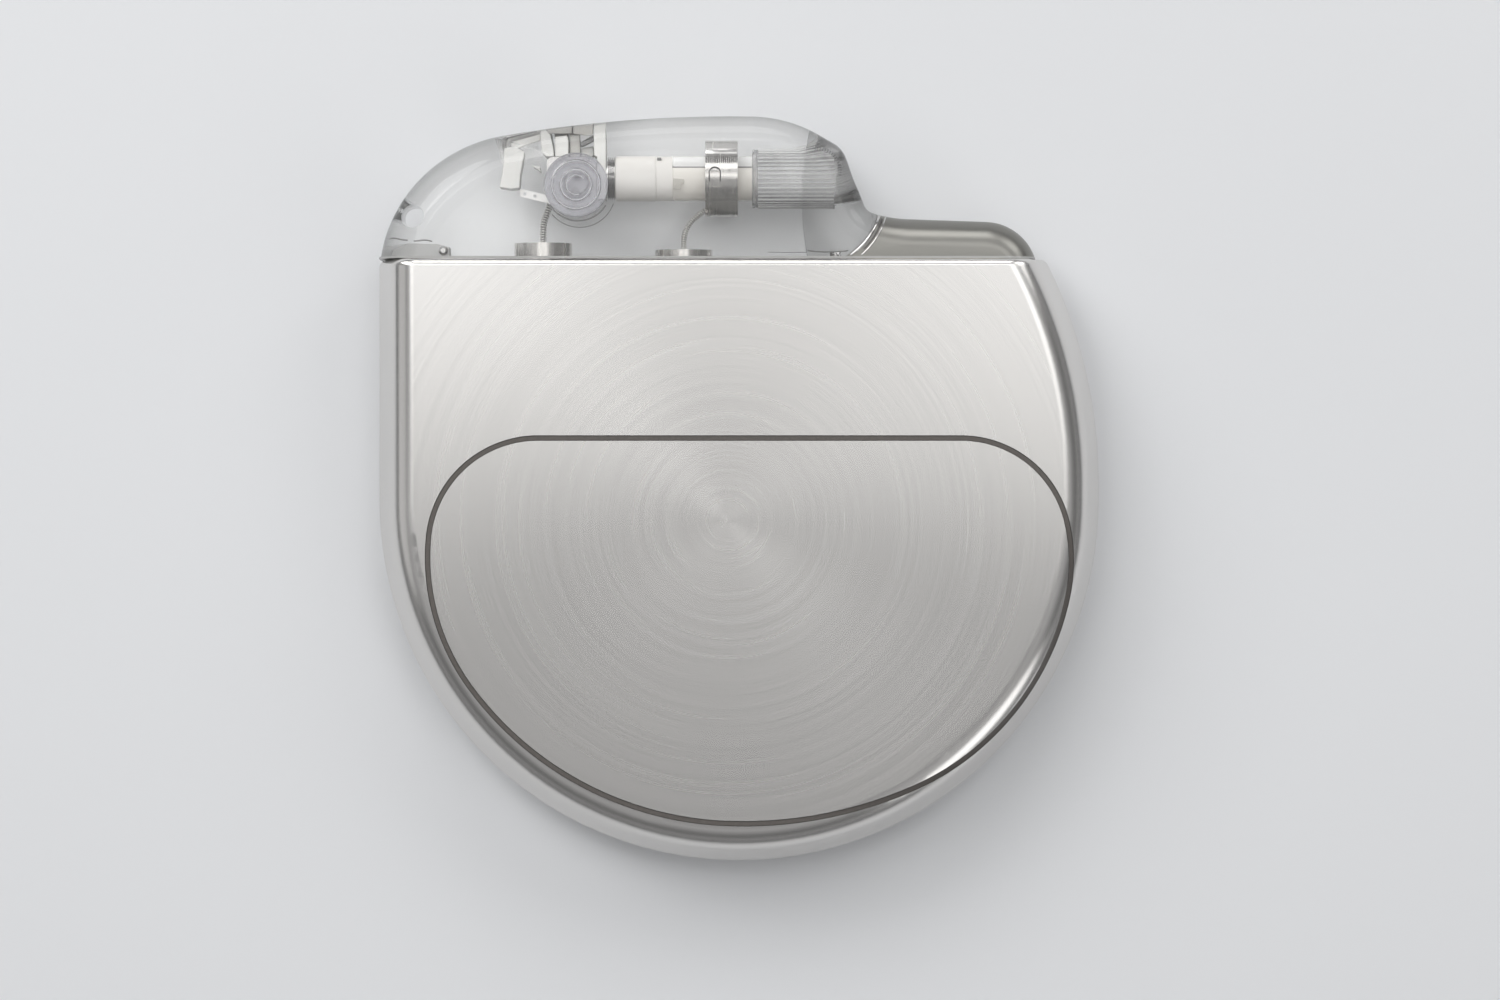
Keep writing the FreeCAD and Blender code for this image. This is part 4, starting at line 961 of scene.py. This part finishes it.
# Fluted sleeve of the entry: clear polymer, moulded with a flange at its inner end and a little
# wider towards the mouth. Its ribs show white against the resin.
fluted = clear_cast("fluted_sleeve", (0.96, 0.96, 0.965), 0.05, 1.2, veil=0.12, edge=0.3)
flute_corners = 96
flute_depth = 0.955
mouth_widening = 1.035
bpy.ops.object.select_all(action="DESELECT")
bpy.ops.mesh.primitive_cylinder_add(
    vertices=flute_corners, radius=1.86 * mm, depth=4.95 * mm, end_fill_type="NOTHING",
    location=(3.675 * mm, bore_y * mm, bore_z * mm), rotation=(0, math.pi / 2, 0))
flutes = bpy.context.object
bpy.ops.object.transform_apply(location=True, rotation=True, scale=True)
pick(flutes, "vertices", lambda v: round(
    math.atan2(v.co.z / mm - bore_z, v.co.y / mm - bore_y) / math.tau * flute_corners) % 2 == 0)
bpy.ops.object.mode_set(mode="EDIT")
bpy.ops.transform.resize(
    value=(1, flute_depth, flute_depth), center_override=[c * mm for c in bore_line])
bpy.ops.object.mode_set(mode="OBJECT")
pick(flutes, "vertices", lambda v: v.co.x > 5.0 * mm)
bpy.ops.object.mode_set(mode="EDIT")
bpy.ops.transform.resize(
    value=(1, mouth_widening, mouth_widening), center_override=[c * mm for c in bore_line])
bpy.ops.object.mode_set(mode="OBJECT")
modified(flutes, "SOLIDIFY", thickness=0.03 * mm, offset=-1.0)
flange = turned("sleeve_flange", (
    (0.84, 1.75), (0.84, 1.80), (0.9, 1.88), (1.0, 1.9), (1.08, 1.82), (1.14, 1.9), (1.2, 1.84),
    (1.22, 1.75), (0.84, 1.75)), bore_line, "X")
sleeve = gather([flutes, flange], "entry_sleeve")
sleeve.data.materials.append(fluted)
rib_white = milky("rib_white", (0.88, 0.88, 0.88), (0.38, 0.38, 0.385), 0.12, 0.4)
sleeve_radius = 1.87
sleeve_start = 1.22
sleeve_round = 4.75
rib_count = 40
flute_ribs = []
for turn in range(rib_count):
    angle = math.tau * (turn + 0.35) / rib_count
    y = bore_y + sleeve_radius * math.cos(angle)
    z = bore_z + sleeve_radius * math.sin(angle)
    past = rib_reach ** 2 - max(y - rib_centre[1], 0.0) ** 2
    end = sleeve_round + math.sqrt(max(past, 0.0))
    thick = 0.045 if turn % 3 else 0.07
    flute_ribs.append(rod(sleeve_start, y, z, thick, end - sleeve_start, "X", 8))
ribbed = gather(flute_ribs, "sleeve_ribs")
ribbed.data.materials.append(rib_white)
for part in (ribbed, sleeve):
    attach(part, "device")
    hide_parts("port_sleeve")

# Feedthroughs: a titanium ferrule with a coarsely turned flange, a ceramic insulator and a pin,
# brazed together and welded into the top of the can.
ferrule_titanium = lathe_marked(
    "ferrule_titanium", (0.74, 0.72, 0.69), 0.24, (3000.0, 60.0, 60.0), 0.4)
ceramic_white = grained("ceramic_white", (0.78, 0.77, 0.74), 0.35, grain=2000.0)
flange_foot = 15.64
flange_radius = 1.83
flange_corners = 80
for name, node, x, top in (
        ("tip_flange", "tip_ferrule", -12.6, 16.53), ("ring_flange", "ring_ferrule", -3.55, 16.1)):
    bpy.ops.object.select_all(action="DESELECT")
    bpy.ops.mesh.primitive_cylinder_add(
        vertices=flange_corners, radius=flange_radius * mm, depth=(top - flange_foot) * mm,
        location=(x * mm, (top + flange_foot) / 2 * mm, bore_z * mm),
        rotation=(math.pi / 2, 0, 0))
    flange = bpy.context.object
    bpy.ops.object.transform_apply(location=True, rotation=True, scale=True)
    pick(flange, "vertices", lambda v: round(
        math.atan2(v.co.z / mm - bore_z, v.co.x / mm - x) / math.tau * flange_corners) % 3 == 0)
    bpy.ops.object.mode_set(mode="EDIT")
    bpy.ops.transform.resize(
        value=(flute_depth, 1, flute_depth), center_override=(x * mm, 0, bore_z * mm))
    bpy.ops.object.mode_set(mode="OBJECT")
    flange = gather([flange], name, 0.03)
    carve(flange, rod(x, 15.5, bore_z, 0.96, 2.0, "Y", 48))
    flange.data.materials.append(ferrule_titanium)
    ferrule = fair_copy(node, name + "_body")
    ferrule.data.materials.append(ferrule_titanium)
    for part in (flange, ferrule):
        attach(part, "device")
        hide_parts(node)

# Coiled wires: fine wire wound on a dark core, from the pins of the feedthroughs up to the block
# and to the ring contact, where they are welded.


def wound(name, foot, rise, radius, bend, steps, last, core_radius, *winding):
    """A straight rise, a bend and a last run as a core, with a close coil around it."""
    route = outline_vertex(*foot, bore_z)
    x, y = draw_run(*foot, 90, rise)
    x, y, turn = draw_arc(x, y, 90, radius, bend, steps)
    draw_run(x, y, turn, last(x, y, math.radians(turn)))
    bpy.ops.object.mode_set(mode="OBJECT")
    core = route.copy()
    core.data = route.data.copy()
    scene.collection.objects.link(core)
    return swept(name + "_core", core, core_radius), coiled(name + "_coil", route, *winding)


tip_core, tip_coil = wound(
    "tip", (-12.6, 16.5), 0.93, 2.2, -20, 10,
    lambda x, y, turn: (19.15 - y) / math.sin(turn), 0.11, 0.18, 0.055, 0.165)
ring_core, ring_coil = wound(
    "ring", (-3.55, 16.1), 0.55, 2.0, -52, 16,
    lambda x, y, turn: (-2.1 - x) / math.cos(turn), 0.08, 0.15, 0.05, 0.15)
coil_silver = grained(
    "coil_silver", (0.70, 0.69, 0.67), 0.3, metallic=0.7, grain=2500.0, vary=0.05)
for part, node, finish in (
        (tip_coil, "tip_wire", coil_silver), (ring_coil, "ring_wire", coil_silver),
        (tip_core, "tip_wire", dark_steel), (ring_core, "ring_wire", dark_steel)):
    part.data.materials.append(finish)
    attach(part, "device")
    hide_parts(node)

# Anchor, rivet, stud, ceramics and pins keep their solids. Two thin wavy seams of resin show over
# the anchor, where it was cast in.
anchor_satin = grained("anchor_satin", (0.46, 0.46, 0.455), 0.5, metallic=0.3, grain=900.0)
for node, finish in (
        ("header_stud", bright_steel), ("header_anchor", anchor_satin),
        ("anchor_rivet", bright_steel), ("tip_insulator", ceramic_white),
        ("ring_insulator", ceramic_white), ("tip_pin", bright_steel), ("ring_pin", bright_steel)):
    nodes[node].data.materials.clear()
    nodes[node].data.materials.append(finish)
seams = []
for x, y, bends in ((-22.35, 16.78, ((8, 1.6, -26, 8), (-18, 1.4, 22, 8))),
                    (-20.75, 16.6, ((2, 1.8, 12, 6), (14, 1.2, -34, 8)))):
    route = outline_vertex(x, y, 4.9)
    for turn, radius, bend, steps in bends:
        x, y, turn = draw_arc(x, y, turn, radius, bend, steps)
    bpy.ops.object.mode_set(mode="OBJECT")
    seams.append(swept("cast_seam", route, 0.045))
seams.append(swept("cast_seam", arc_route((5.7, 24.6), 8.72, -98.5, 17, 6.3), 0.045))
seams.append(swept("cast_seam", arc_route((3.2, 60.0), 44.15, -91.7, 3.2, 6.3), 0.022))
cast_seam = gather(seams, "cast_seam")
cast_seam.data.materials.append(seat_shade)
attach(cast_seam, "device")

# Inside the can, all hidden in use: the lithium cell, the pacing circuit with its coil, and the
# frame and liners around them. They keep their solids and get the finish of their material.
inner_finishes = {
    "weld_band": ((0.60, 0.59, 0.58), 0.35, 1.0),
    "tip_ribbon": ((0.72, 0.70, 0.66), 0.3, 1.0),
    "ring_ribbon": ((0.72, 0.70, 0.66), 0.3, 1.0),
    "module_frame": ((0.12, 0.12, 0.13), 0.5, 0.0),
    "front_liner": ((0.80, 0.62, 0.30), 0.45, 0.0),
    "rear_liner": ((0.80, 0.62, 0.30), 0.45, 0.0),
    "battery_case": ((0.62, 0.62, 0.63), 0.3, 1.0),
    "battery_lid": ((0.64, 0.64, 0.65), 0.28, 1.0),
    "battery_seal": ((0.10, 0.16, 0.22), 0.15, 0.0),
    "battery_terminal": ((0.66, 0.64, 0.60), 0.3, 1.0),
    "battery_anode": ((0.60, 0.61, 0.63), 0.4, 1.0),
    "battery_cathode": ((0.07, 0.065, 0.06), 0.7, 0.0),
    "battery_separator": ((0.82, 0.82, 0.80), 0.7, 0.0),
    "battery_tabs": ((0.66, 0.65, 0.62), 0.3, 1.0),
    "circuit_board": ((0.03, 0.16, 0.08), 0.35, 0.0),
    "processor_chip": ((0.03, 0.03, 0.035), 0.45, 0.0),
    "memory_chip": ((0.03, 0.03, 0.035), 0.45, 0.0),
    "sensor_chip": ((0.10, 0.10, 0.11), 0.4, 0.0),
    "timing_crystal": ((0.70, 0.68, 0.62), 0.25, 1.0),
    "tantalum_capacitors": ((0.75, 0.52, 0.12), 0.45, 0.0),
    "chip_components": ((0.46, 0.40, 0.34), 0.45, 0.0),
    "telemetry_core": ((0.09, 0.09, 0.095), 0.6, 0.0),
    "telemetry_coil": ((0.62, 0.28, 0.12), 0.35, 1.0),
    "magnet_switch": ((0.55, 0.62, 0.60), 0.1, 0.0),
    "getter_pad": ((0.70, 0.69, 0.64), 0.8, 0.0),
}
for node, (colour, roughness, metallic) in inner_finishes.items():
    nodes[node].data.materials.clear()
    nodes[node].data.materials.append(grained(node + "_finish", colour, roughness, metallic))
